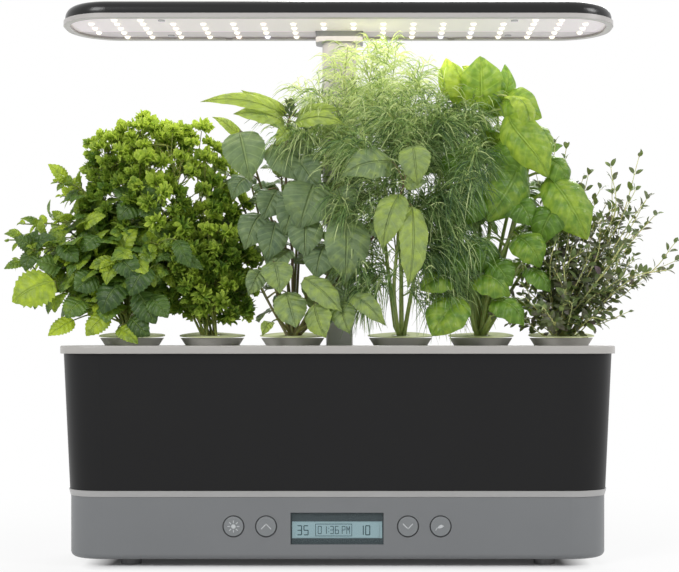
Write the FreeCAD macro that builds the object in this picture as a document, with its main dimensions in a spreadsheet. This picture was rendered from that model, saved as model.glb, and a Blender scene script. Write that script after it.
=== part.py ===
import FreeCAD, Part
import math
import os
import re

import Sketcher
from FreeCAD import Placement, Rotation, Vector

doc = FreeCAD.newDocument("hydroponic_garden")

# Driving sizes, all in millimetres, degrees or plain counts
SIZES = [
    ("fit_gap", 0.2, "clearance between fixed pieces that drop into each other"),
    ("run_gap", 0.3, "clearance round pieces that move"),
    ("foot_height", 5, "rubber feet under the base"),
    ("foot_radius", 7.5, ""),
    ("foot_half_span", 148, "from the middle to a foot, along the width"),
    ("foot_half_reach", 36, "from the middle to a foot, along the depth"),
    ("base_width", 384.6, "housing that holds the electronics"),
    ("base_depth", 108.6, ""),
    ("base_height", 44.2, ""),
    ("base_corner", 27, "corner radius seen from above"),
    ("base_wall", 2.4, ""),
    ("base_floor", 2.4, "ring round the bottom opening"),
    ("base_ring", 6, "width of that ring inside the wall"),
    ("base_ledge", 2.4, "step that the bottom cover sits against"),
    ("base_edge", 4, "rounding of the lower outer edge"),
    ("cover_lip", 1.2, "thickness of the cover's outer step"),
    ("boss_radius", 4, "screw bosses between tray and cover"),
    ("boss_half_span", 165, ""),
    ("boss_half_reach", 32, ""),
    ("screw_radius", 1.4, ""),
    ("screw_head_radius", 2.6, ""),
    ("screw_head_height", 1.4, ""),
    ("screw_length", 12, "shank length"),
    ("tray_width", 385.2, "light band between housing and bowl, at its lower edge"),
    ("tray_depth", 109.2, ""),
    ("tray_height", 4.4, ""),
    ("tray_flare", 1.1, "how far the band widens upwards, each side"),
    ("tray_skin", 2.2, "thickness of the band's top"),
    ("tray_lip", 3, "how far its lip drops into the housing"),
    ("tray_lip_wall", 1.8, ""),
    ("bowl_foot_width", 386, "reservoir bowl at its bottom"),
    ("bowl_foot_depth", 110, ""),
    ("bowl_foot_corner", 27.5, ""),
    ("bowl_top_width", 394.6, "reservoir bowl at its rim"),
    ("bowl_top_depth", 118.6, ""),
    ("bowl_top_corner", 30, ""),
    ("bowl_height", 99.8, ""),
    ("bowl_wall", 2.6, ""),
    ("bowl_floor", 3, ""),
    ("deck_width", 399, "light deck that closes the bowl"),
    ("deck_depth", 123, ""),
    ("deck_corner", 31.5, ""),
    ("deck_skin", 2.6, ""),
    ("deck_skirt", 3, "how far the deck's edge hangs over the bowl"),
    ("deck_edge", 1.2, "rounding of the deck's upper edge"),
    ("port_width", 36, "slot for filling in water"),
    ("port_depth", 16, ""),
    ("port_corner", 7.5, ""),
    ("port_forward", 44, "from the middle of the deck to the slot, forwards"),
    ("pod_near", 39.5, "from the middle of the row to the first pod each side"),
    ("pod_end", 33.8, "from the outermost pod to the rim of the bowl"),
    ("pod_shift", 6, "the row of pods sits a little to the right"),
    ("pod_pitch", "=(bowl_top_width / 2 - pod_end - pod_shift - pod_near) / 2", "shared out evenly"),
    ("pod_forward", 10, "from the middle of the deck to the row, forwards"),
    ("pod_hole_radius", 18, ""),
    ("pod_depth", 58, "how far a basket hangs below the deck"),
    ("pod_tip_radius", 12, ""),
    ("pod_wall", 1.4, ""),
    ("pod_floor", 2, ""),
    ("pod_slot", 5, "width of the slots in a basket"),
    ("pod_slot_height", 34.8, ""),
    ("pod_collar_radius", 19.6, "flared collar on the deck, at its foot"),
    ("pod_flare_radius", 23.2, "flared collar at its brim"),
    ("pod_collar_height", 5.6, ""),
    ("label_radius", 24, ""),
    ("label_thickness", 0.6, ""),
    ("stem_hole_radius", 7, "hole in the label"),
    ("post_width", 20, "fixed post that carries the light"),
    ("post_depth", 14, ""),
    ("post_corner", 3, ""),
    ("post_wall", 1.8, ""),
    ("post_back", 25, "from the middle to the post, rearwards"),
    ("post_length", 369, ""),
    ("sleeve_wall", 2.5, "telescoping sleeve over the post"),
    ("sleeve_length", 146, ""),
    ("collar_width", 35.6, "shoulder on top of the sleeve"),
    ("collar_depth", 23, ""),
    ("collar_height", 6, ""),
    ("hood_level", 390, "underside of the light's trim above the table"),
    ("hood_width", 404, "light grey trim of the lamp hood"),
    ("hood_depth", 84, ""),
    ("hood_corner", 36, ""),
    ("trim_height", 3.4, ""),
    ("trim_lip", 5, "width of the lip round the lamp panel"),
    ("trim_lip_height", 1.2, ""),
    ("trim_wall", 2, ""),
    ("cover_inset", 1.2, "how far the black cover stands inside the trim"),
    ("cover_height", 10, ""),
    ("cover_wall", 2, ""),
    ("cover_side", 3.2, "thickness of the cover's sides"),
    ("cover_edge", 8, "rounding of the cover's upper edge"),
    ("panel_thickness", 1.6, "lamp panel"),
    ("sink_thickness", 2, "aluminium plate behind the panel"),
    ("sink_inset", 8, ""),
    ("sink_shelf", 3.7, "how far the plate reaches over the sleeve's shoulder"),
    ("hood_screw_half_span", 128, "screws through the lamp panel"),
    ("hood_screw_front", 24, ""),
    ("hood_screw_rear", 30, ""),
    ("slot_half_span", 85, "two small release slots in the rear lip"),
    ("slot_width", 5, ""),
    ("slot_depth", 2.4, ""),
    ("lens_radius", 2.2, "lenses on the lamp panel"),
    ("lens_drop", 1.8, ""),
    ("lens_pitch", 22, "along the width"),
    ("lens_end_pitch", 19, "the same near the rounded ends"),
    ("lens_columns", 7, "evenly spaced columns each side of the middle"),
    ("lens_row_pitch", 15.6, "along the depth"),
    ("lens_front_row", 12.8, "from the middle to the first whole row, forwards"),
    ("lens_extra_row", 26, "from the middle to the short row at the ends, forwards"),
    ("lens_edge", 0.4, "least distance from a lens to the trim"),
    ("lens_free", 1, "least distance from a lens to the sleeve's shoulder"),
    ("window_width", 65.2, "display window in the housing"),
    ("window_height", 22, ""),
    ("window_level", 27, "its middle above the table"),
    ("window_recess", 0.6, ""),
    ("window_thickness", 1.4, ""),
    ("display_depth", 6, "display module behind the window"),
    ("display_margin", 2, ""),
    ("board_width", 190, "circuit board"),
    ("board_height", 30, ""),
    ("board_thickness", 1.6, ""),
    ("board_post_radius", 3, "posts that carry the board"),
    ("board_post_span", 89, ""),
    ("button_radius", 7, ""),
    ("button_level", 28.6, ""),
    ("button_near", 50, "from the middle to the inner buttons"),
    ("button_far", 73, "from the middle to the outer buttons"),
    ("button_proud", 0.5, ""),
    ("button_rounding", 0.4, "of the cap's front edge"),
    ("button_flange", 1.2, ""),
    ("button_flange_radius", 8.6, ""),
    ("button_travel", 0.8, ""),
    ("switch_size", 6, ""),
    ("jack_side", 60, "from the middle to the power inlet"),
    ("jack_radius", 4, ""),
    ("jack_bore_radius", 2.8, ""),
    ("jack_width", 11, ""),
    ("jack_length", 13, ""),
    ("jack_bore_depth", 9.8, "from the rear wall to the bottom of the socket"),
    ("pump_radius", 15, ""),
    ("pump_height", 22, ""),
    ("pump_wall", 1.8, ""),
    ("spout_height", 7, "over the pump's cover"),
    ("grille_slot", 2.4, "width of the pump's inlet slots"),
    ("grille_pitch", 6, ""),
    ("grille_level", 3, "over the bowl's floor"),
    ("rotor_radius", 10, ""),
    ("rotor_height", 9, ""),
    ("vane_thickness", 1.6, ""),
    ("vane_reach", 9.5, "from the axle to the end of a vane"),
    ("axle_radius", 1.5, ""),
    ("axle_gap", 0.1, "clearance round the axles"),
    ("riser_radius", 3.5, ""),
    ("riser_bore", 2, ""),
    ("riser_lift", 0.6, "from the cover's inside to the riser's lower end"),
    ("vent_radius", 1.4, "outlets of the riser under the deck"),
    ("vent_high", 5, "from the deck to the upper outlet"),
    ("vent_low", 12, "from the deck to the lower outlet"),
    ("motor_radius", 16, ""),
    ("motor_height", 18, ""),
    ("motor_leg", 4, "side of the two square legs"),
    ("motor_leg_side", 10, "from the motor's middle to a leg"),
    ("magnet_notch", 2, "width of the drive notches"),
    ("magnet_radius", 12, ""),
    ("magnet_height", 5, ""),
    ("float_radius", 9, ""),
    ("float_height", 12, ""),
    ("float_rod_radius", 2, ""),
    ("float_low", 4, "from the bowl's floor to the float at its lowest"),
    ("float_stop", 2, "flange under the float, over and beyond its rod"),
    ("leaf_gap", 1, "clearance between neighbouring plants"),
    ("leaf_start", 8, "bare stem over the deck"),
    ("stem_play", 1.5, "room round the stem in the label's hole"),
    ("slice_corner", 0.45, "corner radius of a slice of leaves, as a share of its smaller side"),
    ("border_1_aside", -1, "border between two plants: from midway between their pods, at the deck"),
    ("border_1_lean", -18, "how far the border leans to the right as it goes up"),
    ("border_2_aside", -3, ""),
    ("border_2_lean", 0, ""),
    ("border_3_aside", -16, ""),
    ("border_3_lean", 0, ""),
    ("border_4_aside", 11, ""),
    ("border_4_lean", 0, ""),
    ("border_5_aside", -21, ""),
    ("border_5_lean", 20, ""),
]

# Each plant: slices of its leaves from the lowest up, each with its height over the deck,
# how far it stands right of the pod and behind the row, its half width and its half depth.
PLANTS = {
    "mint_plant": (
        (13, -18, -12, 34, 26), (38, -30, -4, 54, 40), (74, -33, -2, 61, 42), (100, -26, 2, 48, 36),
        (120, -28, 4, 30, 22), (130, -34, 4, 12, 9)),
    "parsley_plant": (
        (18, 0, 2, 24, 20), (42, -12, 8, 38, 30), (78, -30, 12, 58, 40), (114, -34, 14, 61, 42),
        (146, -34, 14, 52, 36), (164, -34, 14, 32, 22), (172, -34, 14, 14, 10)),
    "thai_basil_plant": (
        (12, 2, -14, 30, 24), (50, -4, -10, 36, 32), (110, -6, -6, 32, 30), (150, -4, 0, 32, 26),
        (176, -2, 0, 26, 18), (188, 0, 0, 12, 8)),
    "dill_plant": (
        (30, -2, -6, 24, 22), (70, -4, -10, 44, 32), (110, -4, -12, 50, 34), (150, -10, -12, 58, 34),
        (185, -14, -10, 56, 30), (206, -16, -8, 40, 22), (217, -14, -6, 18, 10)),
    "basil_plant": (
        (12, -4, -22, 24, 20), (40, -2, -18, 36, 30), (70, 12, -10, 42, 36), (98, 26, -8, 50, 38),
        (130, 20, -4, 46, 40), (166, 12, -2, 38, 34), (196, -4, -2, 24, 24), (214, -2, -4, 10, 10)),
    "thyme_plant": (
        (13, 4, -6, 46, 32), (40, 10, -4, 58, 38), (70, 16, -2, 66, 38), (100, 22, 2, 48, 34),
        (124, 20, 4, 28, 24), (140, 8, 2, 12, 10)),
}
SLICE_WORDS = ("above", "aside", "behind", "half_width", "half_depth")


def make_sheet():
    """Puts the driving sizes into a spreadsheet, one row each, with the value under its own name."""
    sheet = doc.addObject("Spreadsheet::Sheet", "Sizes")
    rows = list(SIZES)
    for plant, slices in PLANTS.items():
        for number, values in enumerate(slices):
            for word, value in zip(SLICE_WORDS, values):
                rows.append((f"{plant}_{number}_{word}", value, ""))
    for row, (name, value, note) in enumerate(rows, start=1):
        sheet.set(f"A{row}", name)
        sheet.set(f"B{row}", str(value))
        sheet.set(f"C{row}", note)
        sheet.setAlias(f"B{row}", name)
    doc.recompute()
    return sheet, [name for name, value, note in rows]


sheet, names = make_sheet()
NAME = re.compile(r"\b(" + "|".join(sorted(names, key=len, reverse=True)) + r")\b")
parts = {}


def read(name):
    """The value of one driving size."""
    return float(sheet.get(name))


def bind(thing, prop, formula):
    """Ties a property to the sheet; the formula names sizes by their plain names."""
    thing.setExpression(prop, NAME.sub(r"Sizes.\1", str(formula)))


def place(thing, x="0", y="0", z="0"):
    """Ties a thing's position to the sheet."""
    bind(thing, "Placement.Base.x", x)
    bind(thing, "Placement.Base.y", y)
    bind(thing, "Placement.Base.z", z)
    return thing


def keep(label, thing):
    """Marks a finished sub-part: its label names its file."""
    thing.Label = label
    parts[label] = thing
    return thing


def box(name, width, depth, height, x="0", y="0", z="0"):
    """Block centred on x and y that stands on z."""
    block = doc.addObject("Part::Box", name)
    bind(block, "Length", width)
    bind(block, "Width", depth)
    bind(block, "Height", height)
    return place(block, f"({x}) - ({width}) / 2", f"({y}) - ({depth}) / 2", z)


def rod(name, radius, length, x="0", y="0", z="0"):
    """Upright cylinder that stands on z."""
    cylinder = doc.addObject("Part::Cylinder", name)
    bind(cylinder, "Radius", radius)
    bind(cylinder, "Height", length)
    return place(cylinder, x, y, z)


def pin(name, radius, length, x, y, z):
    """Cylinder that starts at y and runs rearwards."""
    cylinder = rod(name, radius, length)
    cylinder.Placement = Placement(Vector(0, 0, 0), Rotation(Vector(1, 0, 0), -90))
    return place(cylinder, x, y, z)


def cone(name, low, high, height, x="0", y="0", z="0"):
    """Upright cone from one radius to another."""
    shape = doc.addObject("Part::Cone", name)
    bind(shape, "Radius1", low)
    bind(shape, "Radius2", high)
    bind(shape, "Height", height)
    return place(shape, x, y, z)


def fuse(name, things):
    """Joins things into one solid."""
    joined = doc.addObject("Part::MultiFuse", name)
    joined.Shapes = things
    return joined


def cut(name, base, tools):
    """Takes tools away from a base."""
    left = doc.addObject("Part::Cut", name)
    left.Base = base
    left.Tool = tools[0] if len(tools) == 1 else fuse(name + "_tools", tools)
    return left


def new_body(name, x="0", y="0", z="0"):
    """Body whose own origin is placed by the sheet."""
    body = doc.addObject("PartDesign::Body", name)
    return place(body, x, y, z)


def outline(body, name, width, depth, corner, level="0", aside="0", behind="0"):
    """Rounded rectangle at a level above the body's origin, on its upright axis or to one side of it."""
    sketch = body.newObject("Sketcher::SketchObject", name)
    plane = next(p for p in body.Origin.OriginFeatures if p.Role == "XY_Plane")
    sketch.AttachmentSupport = [(plane, "")]
    sketch.MapMode = "FlatFace"
    bind(sketch, "AttachmentOffset.Base.x", aside)
    bind(sketch, "AttachmentOffset.Base.y", behind)
    bind(sketch, "AttachmentOffset.Base.z", level)
    # Starting sizes, until the sheet sets the real ones
    half_width, half_depth, radius = 60.0, 50.0, 12.0
    flat_x, flat_y = half_width - radius, half_depth - radius
    sides = [
        ((-flat_x, -half_depth), (flat_x, -half_depth)),
        ((half_width, -flat_y), (half_width, flat_y)),
        ((flat_x, half_depth), (-flat_x, half_depth)),
        ((-half_width, flat_y), (-half_width, -flat_y)),
    ]
    for start, end in sides:
        sketch.addGeometry(Part.LineSegment(Vector(*start, 0), Vector(*end, 0)))
    middles = [(flat_x, -flat_y), (flat_x, flat_y), (-flat_x, flat_y), (-flat_x, -flat_y)]
    for turn, (x, y) in enumerate(middles):
        circle = Part.Circle(Vector(x, y, 0), Vector(0, 0, 1), radius)
        start = (turn - 1) * math.pi / 2
        sketch.addGeometry(Part.ArcOfCircle(circle, start, start + math.pi / 2))
    for side in range(4):
        sketch.addConstraint(Sketcher.Constraint("Tangent", side, 2, 4 + side, 1))
        sketch.addConstraint(Sketcher.Constraint("Tangent", 4 + side, 2, (side + 1) % 4, 1))
    for side in (0, 2):
        sketch.addConstraint(Sketcher.Constraint("Horizontal", side))
        sketch.addConstraint(Sketcher.Constraint("Vertical", side + 1))
    for arc in (5, 6, 7):
        sketch.addConstraint(Sketcher.Constraint("Equal", 4, arc))
    sketch.addConstraint(Sketcher.Constraint("Symmetric", 4, 3, 6, 3, -1, 1))
    spans = (
        ("wide", Sketcher.Constraint("DistanceX", 3, 1, 1, 1, 2 * half_width), width),
        ("deep", Sketcher.Constraint("DistanceY", 0, 1, 2, 1, 2 * half_depth), depth),
        ("round", Sketcher.Constraint("Radius", 4, radius), corner),
    )
    for word, constraint, formula in spans:
        index = sketch.addConstraint(constraint)
        sketch.renameConstraint(index, word)
        bind(sketch, f"Constraints.{word}", formula)
    return sketch


def pad(body, name, sketch, length):
    """Adds material upwards from a sketch."""
    feature = body.newObject("PartDesign::Pad", name)
    feature.Profile = sketch
    bind(feature, "Length", length)
    sketch.Visibility = False
    return feature


def pocket(body, name, sketch, length):
    """Takes material away upwards from a sketch."""
    feature = body.newObject("PartDesign::Pocket", name)
    feature.Profile = sketch
    feature.Reversed = True
    bind(feature, "Length", length)
    return feature


def loft(body, name, kind, low, *others):
    """Straight-sided loft through outlines, from the lowest up."""
    feature = body.newObject("PartDesign::" + kind, name)
    feature.Profile = low
    feature.Sections = list(others)
    feature.Ruled = True
    return feature


# Edges count as level with each other within this many millimetres
CLOSE = 0.001


def edges_at(shape, level):
    """Names of the edges that lie flat at one height."""
    found = []
    for number, edge in enumerate(shape.Edges, start=1):
        if abs(edge.BoundBox.ZMin - level) < CLOSE and abs(edge.BoundBox.ZMax - level) < CLOSE:
            found.append((number, edge))
    return found


def round_edge(body, name, feature, level, radius):
    """Rounds the outermost edge loop that lies at one height of a feature."""
    doc.recompute()
    flat = edges_at(feature.Shape, level)
    reach = max(edge.BoundBox.XMax for number, edge in flat)
    width = max(edge.BoundBox.YMax for number, edge in flat)
    corner = [
        (number, edge) for number, edge in flat
        if abs(edge.BoundBox.XMax - reach) < CLOSE or abs(edge.BoundBox.YMax - width) < CLOSE
    ]
    fillet = body.newObject("PartDesign::Fillet", name)
    fillet.Base = (feature, [f"Edge{number}" for number, edge in corner])
    bind(fillet, "Radius", radius)
    return fillet


# Side of the middle and steps outwards for each pod, from left to right
POD_STEPS = [(-1, 2), (-1, 1), (-1, 0), (1, 0), (1, 1), (1, 2)]

# Heights that several pieces share
BASE_LOW = "foot_height"
BASE_TOP = "foot_height + base_height"
BOWL_LOW = f"{BASE_TOP} + tray_height"
BOWL_TOP = f"{BOWL_LOW} + bowl_height"
DECK_TOP = f"{BOWL_TOP} + deck_skin"
FRONT = "-base_depth / 2"
INNER_FRONT = "-base_depth / 2 + base_wall"
POST_LOW = "foot_height + base_floor"
TRIM_TOP = "hood_level + trim_height"
LABEL_LOW = f"{DECK_TOP} + pod_collar_height"


def make_feet():
    """Four rubber discs under the bottom cover."""
    for end, side in (("front", -1), ("rear", 1)):
        for hand, turn in (("left", -1), ("right", 1)):
            label = f"foot_{end}_{hand}"
            x, y = f"{turn} * foot_half_span", f"{side} * foot_half_reach"
            keep(label, rod("F_" + label, "foot_radius", "foot_height", x, y))


def base_holes():
    """Tools for every opening in the housing's walls."""
    deep = "3 * base_wall"
    y = f"{FRONT} - base_wall"
    holes = [box("window_hole", "window_width + 2 * fit_gap", deep, "window_height + 2 * fit_gap",
                 "0", FRONT, "window_level - window_height / 2 - fit_gap")]
    for hand, x in button_places():
        holes.append(pin(f"button_hole_{hand}", "button_radius + run_gap", deep, x, y, "button_level"))
    holes.append(pin("jack_hole", "jack_radius + fit_gap", deep, "jack_side",
                     "base_depth / 2 - 2 * base_wall", "window_level"))
    return holes


def button_places():
    """The four buttons, left to right, with their distance from the middle."""
    return [("light", "-button_far"), ("up", "-button_near"), ("down", "button_near"), ("feed", "button_far")]


def make_base_housing():
    """Ring-shaped shell with a rebated bottom opening and two posts for the circuit board."""
    body = new_body("housing", "0", "0", BASE_LOW)
    outside = outline(body, "housing_outside", "base_width", "base_depth", "base_corner")
    shell = pad(body, "housing_block", outside, "base_height")
    rounded = round_edge(body, "housing_rounding", shell, 0, "base_edge")
    hollow = "2 * base_wall"
    inside = outline(body, "housing_inside", f"base_width - {hollow}", f"base_depth - {hollow}",
                     "base_corner - base_wall", "base_floor")
    pocket(body, "housing_hollow", inside, "base_height")
    ring = "2 * (base_wall + base_ring)"
    wide = outline(body, "opening_wide", f"base_width - {ring}", f"base_depth - {ring}",
                   "base_corner - base_wall - base_ring")
    pocket(body, "rebate", wide, "cover_lip + fit_gap")
    ledge = "2 * (base_wall + base_ring + base_ledge)"
    narrow = outline(body, "opening_narrow", f"base_width - {ledge}", f"base_depth - {ledge}",
                     "base_corner - base_wall - base_ring - base_ledge")
    pocket(body, "opening", narrow, "2 * base_floor")
    posts = [
        pin(f"board_post_{turn}", "board_post_radius", "display_depth + base_wall / 2",
            f"{turn} * board_post_span", f"{FRONT} + base_wall / 2", "window_level")
        for turn in (-1, 1)
    ]
    shell = cut("housing_holes", body, base_holes())
    keep("base_housing", fuse("housing_with_posts", [shell] + posts))


def boss_places():
    """Screw places in the base, by their two signs."""
    return [(f"{a} * boss_half_span", f"{b} * boss_half_reach") for a in (-1, 1) for b in (-1, 1)]


def make_bottom_cover():
    """Stepped plate that closes the housing from below."""
    body = new_body("bottom", "0", "0", BASE_LOW)
    ring = "2 * (base_wall + base_ring + fit_gap)"
    low = outline(body, "bottom_low", f"base_width - {ring}", f"base_depth - {ring}",
                  "base_corner - base_wall - base_ring - fit_gap")
    pad(body, "bottom_plate", low, "cover_lip")
    ledge = "2 * (base_wall + base_ring + base_ledge + fit_gap)"
    high = outline(body, "bottom_high", f"base_width - {ledge}", f"base_depth - {ledge}",
                   "base_corner - base_wall - base_ring - base_ledge - fit_gap", "cover_lip")
    pad(body, "bottom_step", high, "base_floor - cover_lip")
    tools = []
    for number, (x, y) in enumerate(boss_places()):
        tools.append(rod(f"bottom_hole_{number}", "screw_radius + fit_gap",
                         f"{BASE_LOW} + 2 * base_floor", x, y))
        tools.append(rod(f"bottom_sink_{number}", "screw_head_radius + fit_gap",
                         "screw_head_height + fit_gap", x, y, f"{BASE_LOW} - fit_gap"))
    keep("base_bottom_cover", cut("bottom_with_holes", body, tools))


def make_base_tray():
    """Light band on top of the housing, with its lip, four screw bosses and the hole for the post."""
    body = new_body("tray", "0", "0", BASE_TOP)
    low = outline(body, "tray_low", "tray_width", "tray_depth", "base_corner")
    high = outline(body, "tray_high", "tray_width + 2 * tray_flare", "tray_depth + 2 * tray_flare",
                   "base_corner + tray_flare", "tray_height")
    loft(body, "tray_block", "AdditiveLoft", low, high)
    under = "2 * (base_wall + fit_gap + tray_lip_wall)"
    inside = outline(body, "tray_inside", f"base_width - {under}", f"base_depth - {under}",
                     "base_corner - base_wall - fit_gap - tray_lip_wall")
    pocket(body, "tray_hollow", inside, "tray_height - tray_skin")
    lip = new_body("lip", "0", "0", f"{BASE_TOP} - tray_lip")
    side = "2 * (base_wall + fit_gap)"
    outer = outline(lip, "lip_outside", f"base_width - {side}", f"base_depth - {side}",
                    "base_corner - base_wall - fit_gap")
    pad(lip, "lip_block", outer, "tray_lip + tray_skin / 2")
    inner = outline(lip, "lip_inside", f"base_width - {under}", f"base_depth - {under}",
                    "base_corner - base_wall - fit_gap - tray_lip_wall")
    pocket(lip, "lip_hollow", inner, "2 * tray_lip + tray_height")
    bosses, drills = [], []
    for number, (x, y) in enumerate(boss_places()):
        foot = f"{BASE_LOW} + base_floor"
        bosses.append(rod(f"boss_{number}", "boss_radius",
                          "base_height - base_floor + tray_height - tray_skin / 2", x, y, foot))
        drills.append(rod(f"boss_drill_{number}", "screw_radius + fit_gap / 2", "screw_length",
                          x, y, BASE_LOW))
    whole = fuse("tray_with_bosses", [body, lip] + bosses)
    drills.append(post_block("tray_post_hole", "fit_gap", f"{BASE_TOP} - tray_lip",
                             "tray_lip + 2 * tray_height"))
    keep("base_top_tray", cut("tray_with_holes", whole, drills))


def post_block(name, gap, low, height):
    """Upright block the size of the post with a clearance all round."""
    return box(name, f"post_width + 2 * ({gap})", f"post_depth + 2 * ({gap})", height, "0", "post_back", low)


def make_base_screws():
    """Four self-tapping screws, driven up through the cover into the bosses."""
    screws = []
    for number, (x, y) in enumerate(boss_places()):
        head = rod(f"screw_head_{number}", "screw_head_radius", "screw_head_height", x, y, BASE_LOW)
        shank = rod(f"screw_shank_{number}", "screw_radius", "screw_length - screw_head_height", x, y,
                    f"{BASE_LOW} + screw_head_height / 2")
        screws.append(fuse(f"screw_{number}", [head, shank]))
    group = doc.addObject("Part::Compound", "screws")
    group.Links = screws
    keep("base_screws", group)


def make_display():
    """Dark window, display module and circuit board, one behind the other."""
    keep("display_window", box("window", "window_width", "window_thickness", "window_height", "0",
                               f"{FRONT} + window_recess + window_thickness / 2",
                               "window_level - window_height / 2"))
    module = box("module", "window_width + 2 * display_margin", "display_depth - fit_gap",
                 "window_height + 2 * display_margin", "0",
                 f"{INNER_FRONT} + (display_depth - fit_gap) / 2",
                 "window_level - window_height / 2 - display_margin")
    keep("lcd_module", module)
    board = box("board", "board_width", "board_thickness", "board_height", "0",
                f"{INNER_FRONT} + display_depth + board_thickness / 2", "window_level - board_height / 2")
    keep("control_board", board)
    switches = []
    rest = f"{INNER_FRONT} + button_flange + button_travel + fit_gap"
    for hand, x in button_places():
        length = "display_depth - button_flange - button_travel - fit_gap"
        switches.append(box(f"switch_{hand}", "switch_size", length, "switch_size", x,
                            f"{rest} + ({length}) / 2", "button_level - switch_size / 2"))
    group = doc.addObject("Part::Compound", "switches")
    group.Links = switches
    keep("tact_switches", group)


def make_buttons():
    """Four round push buttons: a cap in the wall and a flange behind it."""
    for hand, x in button_places():
        cap = pin(f"cap_{hand}", "button_radius", "button_proud + base_wall + button_flange / 2", x,
                  f"{FRONT} - button_proud", "button_level")
        flange = pin(f"flange_{hand}", "button_flange_radius", "button_flange", x, INNER_FRONT,
                     "button_level")
        whole = fuse(f"button_{hand}", [cap, flange])
        doc.recompute()
        front, soft_radius = whole.Shape.BoundBox.YMin, read("button_rounding")
        rim = [
            (number, soft_radius, soft_radius) for number, edge in enumerate(whole.Shape.Edges, start=1)
            if abs(edge.BoundBox.YMax - front) < CLOSE
        ]
        soft = doc.addObject("Part::Fillet", f"button_soft_{hand}")
        soft.Base = whole
        soft.Edges = rim
        keep(f"{hand}_button", soft)


def make_inlet():
    """Barrel socket for the power adapter, in the rear wall."""
    rear = "base_depth / 2"
    barrel = pin("jack_barrel", "jack_radius", "2 * base_wall", "jack_side", f"{rear} - 2 * base_wall",
                 "window_level")
    case = box("jack_case", "jack_width", "jack_length", "jack_width", "jack_side",
               f"{rear} - base_wall - jack_length / 2", "window_level - jack_width / 2")
    bore = pin("jack_bore", "jack_bore_radius", "jack_length", "jack_side",
               f"{rear} - jack_bore_depth", "window_level")
    contact = pin("jack_contact", "jack_bore_radius / 3", "jack_bore_depth - fit_gap", "jack_side",
                  f"{rear} - jack_bore_depth - base_wall / 2", "window_level")
    socket = cut("jack_socket", fuse("jack_body", [barrel, case]), [bore])
    keep("power_inlet", fuse("jack", [socket, contact]))


def make_pump():
    """Motor in the base, its magnet, and the impeller that the magnet drives through the bowl's floor."""
    x, y = "(pod_shift + pod_near + pod_pitch / 2)", "-pod_forward"
    magnet_top = f"{BASE_TOP} + tray_height - tray_skin - 2 * run_gap"
    motor_top = f"{magnet_top} - magnet_height - run_gap"
    motor = rod("motor_case", "motor_radius", "motor_height", x, y, f"{motor_top} - motor_height")
    shaft_room = rod("motor_bore", "axle_radius + axle_gap", "motor_height / 2", x, y,
                     f"{motor_top} - motor_height / 2")
    leg_long = f"{motor_top} - motor_height / 2 - foot_height - base_floor"
    legs = [box(f"motor_leg_{n}", "motor_leg", "motor_leg", leg_long, f"{x} + {n} * motor_leg_side", y,
                f"{BASE_LOW} + base_floor") for n in (-1, 1)]
    keep("pump_motor", cut("motor", fuse("motor_body", [motor] + legs), [shaft_room]))
    magnet = rod("magnet_disc", "magnet_radius", "magnet_height", x, y, f"{magnet_top} - magnet_height")
    spindle = rod("magnet_spindle", "axle_radius", "motor_height / 2 - run_gap", x, y,
                  f"{magnet_top} - magnet_height - motor_height / 2 + run_gap")
    notches = [box(f"magnet_notch_{n}", "magnet_notch", "magnet_radius", "magnet_height * 2", x,
                   f"{y} + {n} * magnet_radius", f"{magnet_top} - magnet_height / 3") for n in (-1, 1)]
    keep("drive_magnet", cut("magnet", fuse("magnet_body", [magnet, spindle]), notches))

    floor_top = f"{BOWL_LOW} + bowl_floor"
    outer = rod("pump_outer", "pump_radius", "pump_height", x, y, floor_top)
    inner = rod("pump_inner", "pump_radius - pump_wall", "pump_height - pump_wall", x, y, floor_top)
    riser_out = rod("pump_spout", "riser_radius + pump_wall", "spout_height + pump_wall / 2", x, y,
                    f"{floor_top} + pump_height - pump_wall / 2")
    riser_in = rod("pump_spout_bore", "riser_radius + fit_gap / 2", "2 * spout_height", x, y,
                   f"{floor_top} + pump_height - 2 * pump_wall")
    grille = [box(f"grille_{n}", "3 * pump_radius", "grille_slot", "pump_height / 3", x,
                  f"{y} + {n} * grille_pitch", f"{floor_top} + grille_level") for n in (-1, 0, 1)]
    keep("pump_cover", cut("pump_shell", fuse("pump_body", [outer, riser_out]), [inner, riser_in] + grille))

    hub_low = f"{floor_top} + run_gap"
    hub = rod("hub", "rotor_radius / 2", "rotor_height", x, y, hub_low)
    disc = rod("rotor_disc", "rotor_radius", "rotor_height / 3", x, y, hub_low)
    vanes = []
    for n in range(3):
        vane = box(f"vane_{n}", "2 * vane_reach", "vane_thickness", "rotor_height")
        vane.Placement = Placement(Vector(0, 0, 0), Rotation(Vector(0, 0, 1), 60 * n))
        angle = math.radians(60 * n)
        ahead, across = f"{math.cos(angle):.6f}", f"{math.sin(angle):.6f}"
        place(vane, f"{x} - vane_reach * {ahead} + vane_thickness / 2 * {across}",
              f"{y} - vane_reach * {across} - vane_thickness / 2 * {ahead}", hub_low)
        vanes.append(vane)
    bore = rod("hub_bore", "axle_radius + axle_gap", "rotor_height * 2", x, y,
               f"{hub_low} - rotor_height / 2")
    keep("pump_impeller", cut("impeller", fuse("impeller_body", [hub, disc] + vanes), [bore]))

    top = f"{DECK_TOP} - deck_skin - fit_gap"
    riser_low = f"{floor_top} + pump_height - pump_wall + riser_lift"
    tube = rod("riser_out", "riser_radius", f"{top} - ({riser_low})", x, y, riser_low)
    hole = rod("riser_in", "riser_bore", f"{top} - ({riser_low}) + 2 * riser_bore", x, y,
               f"{riser_low} - riser_bore")
    vents = [pin(f"{word}_cut", "vent_radius", "4 * riser_radius", x, f"{y} - 2 * riser_radius",
                 f"{top} - {word}") for word in ("vent_high", "vent_low")]
    keep("pump_riser", cut("riser", tube, [hole] + vents))


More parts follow.
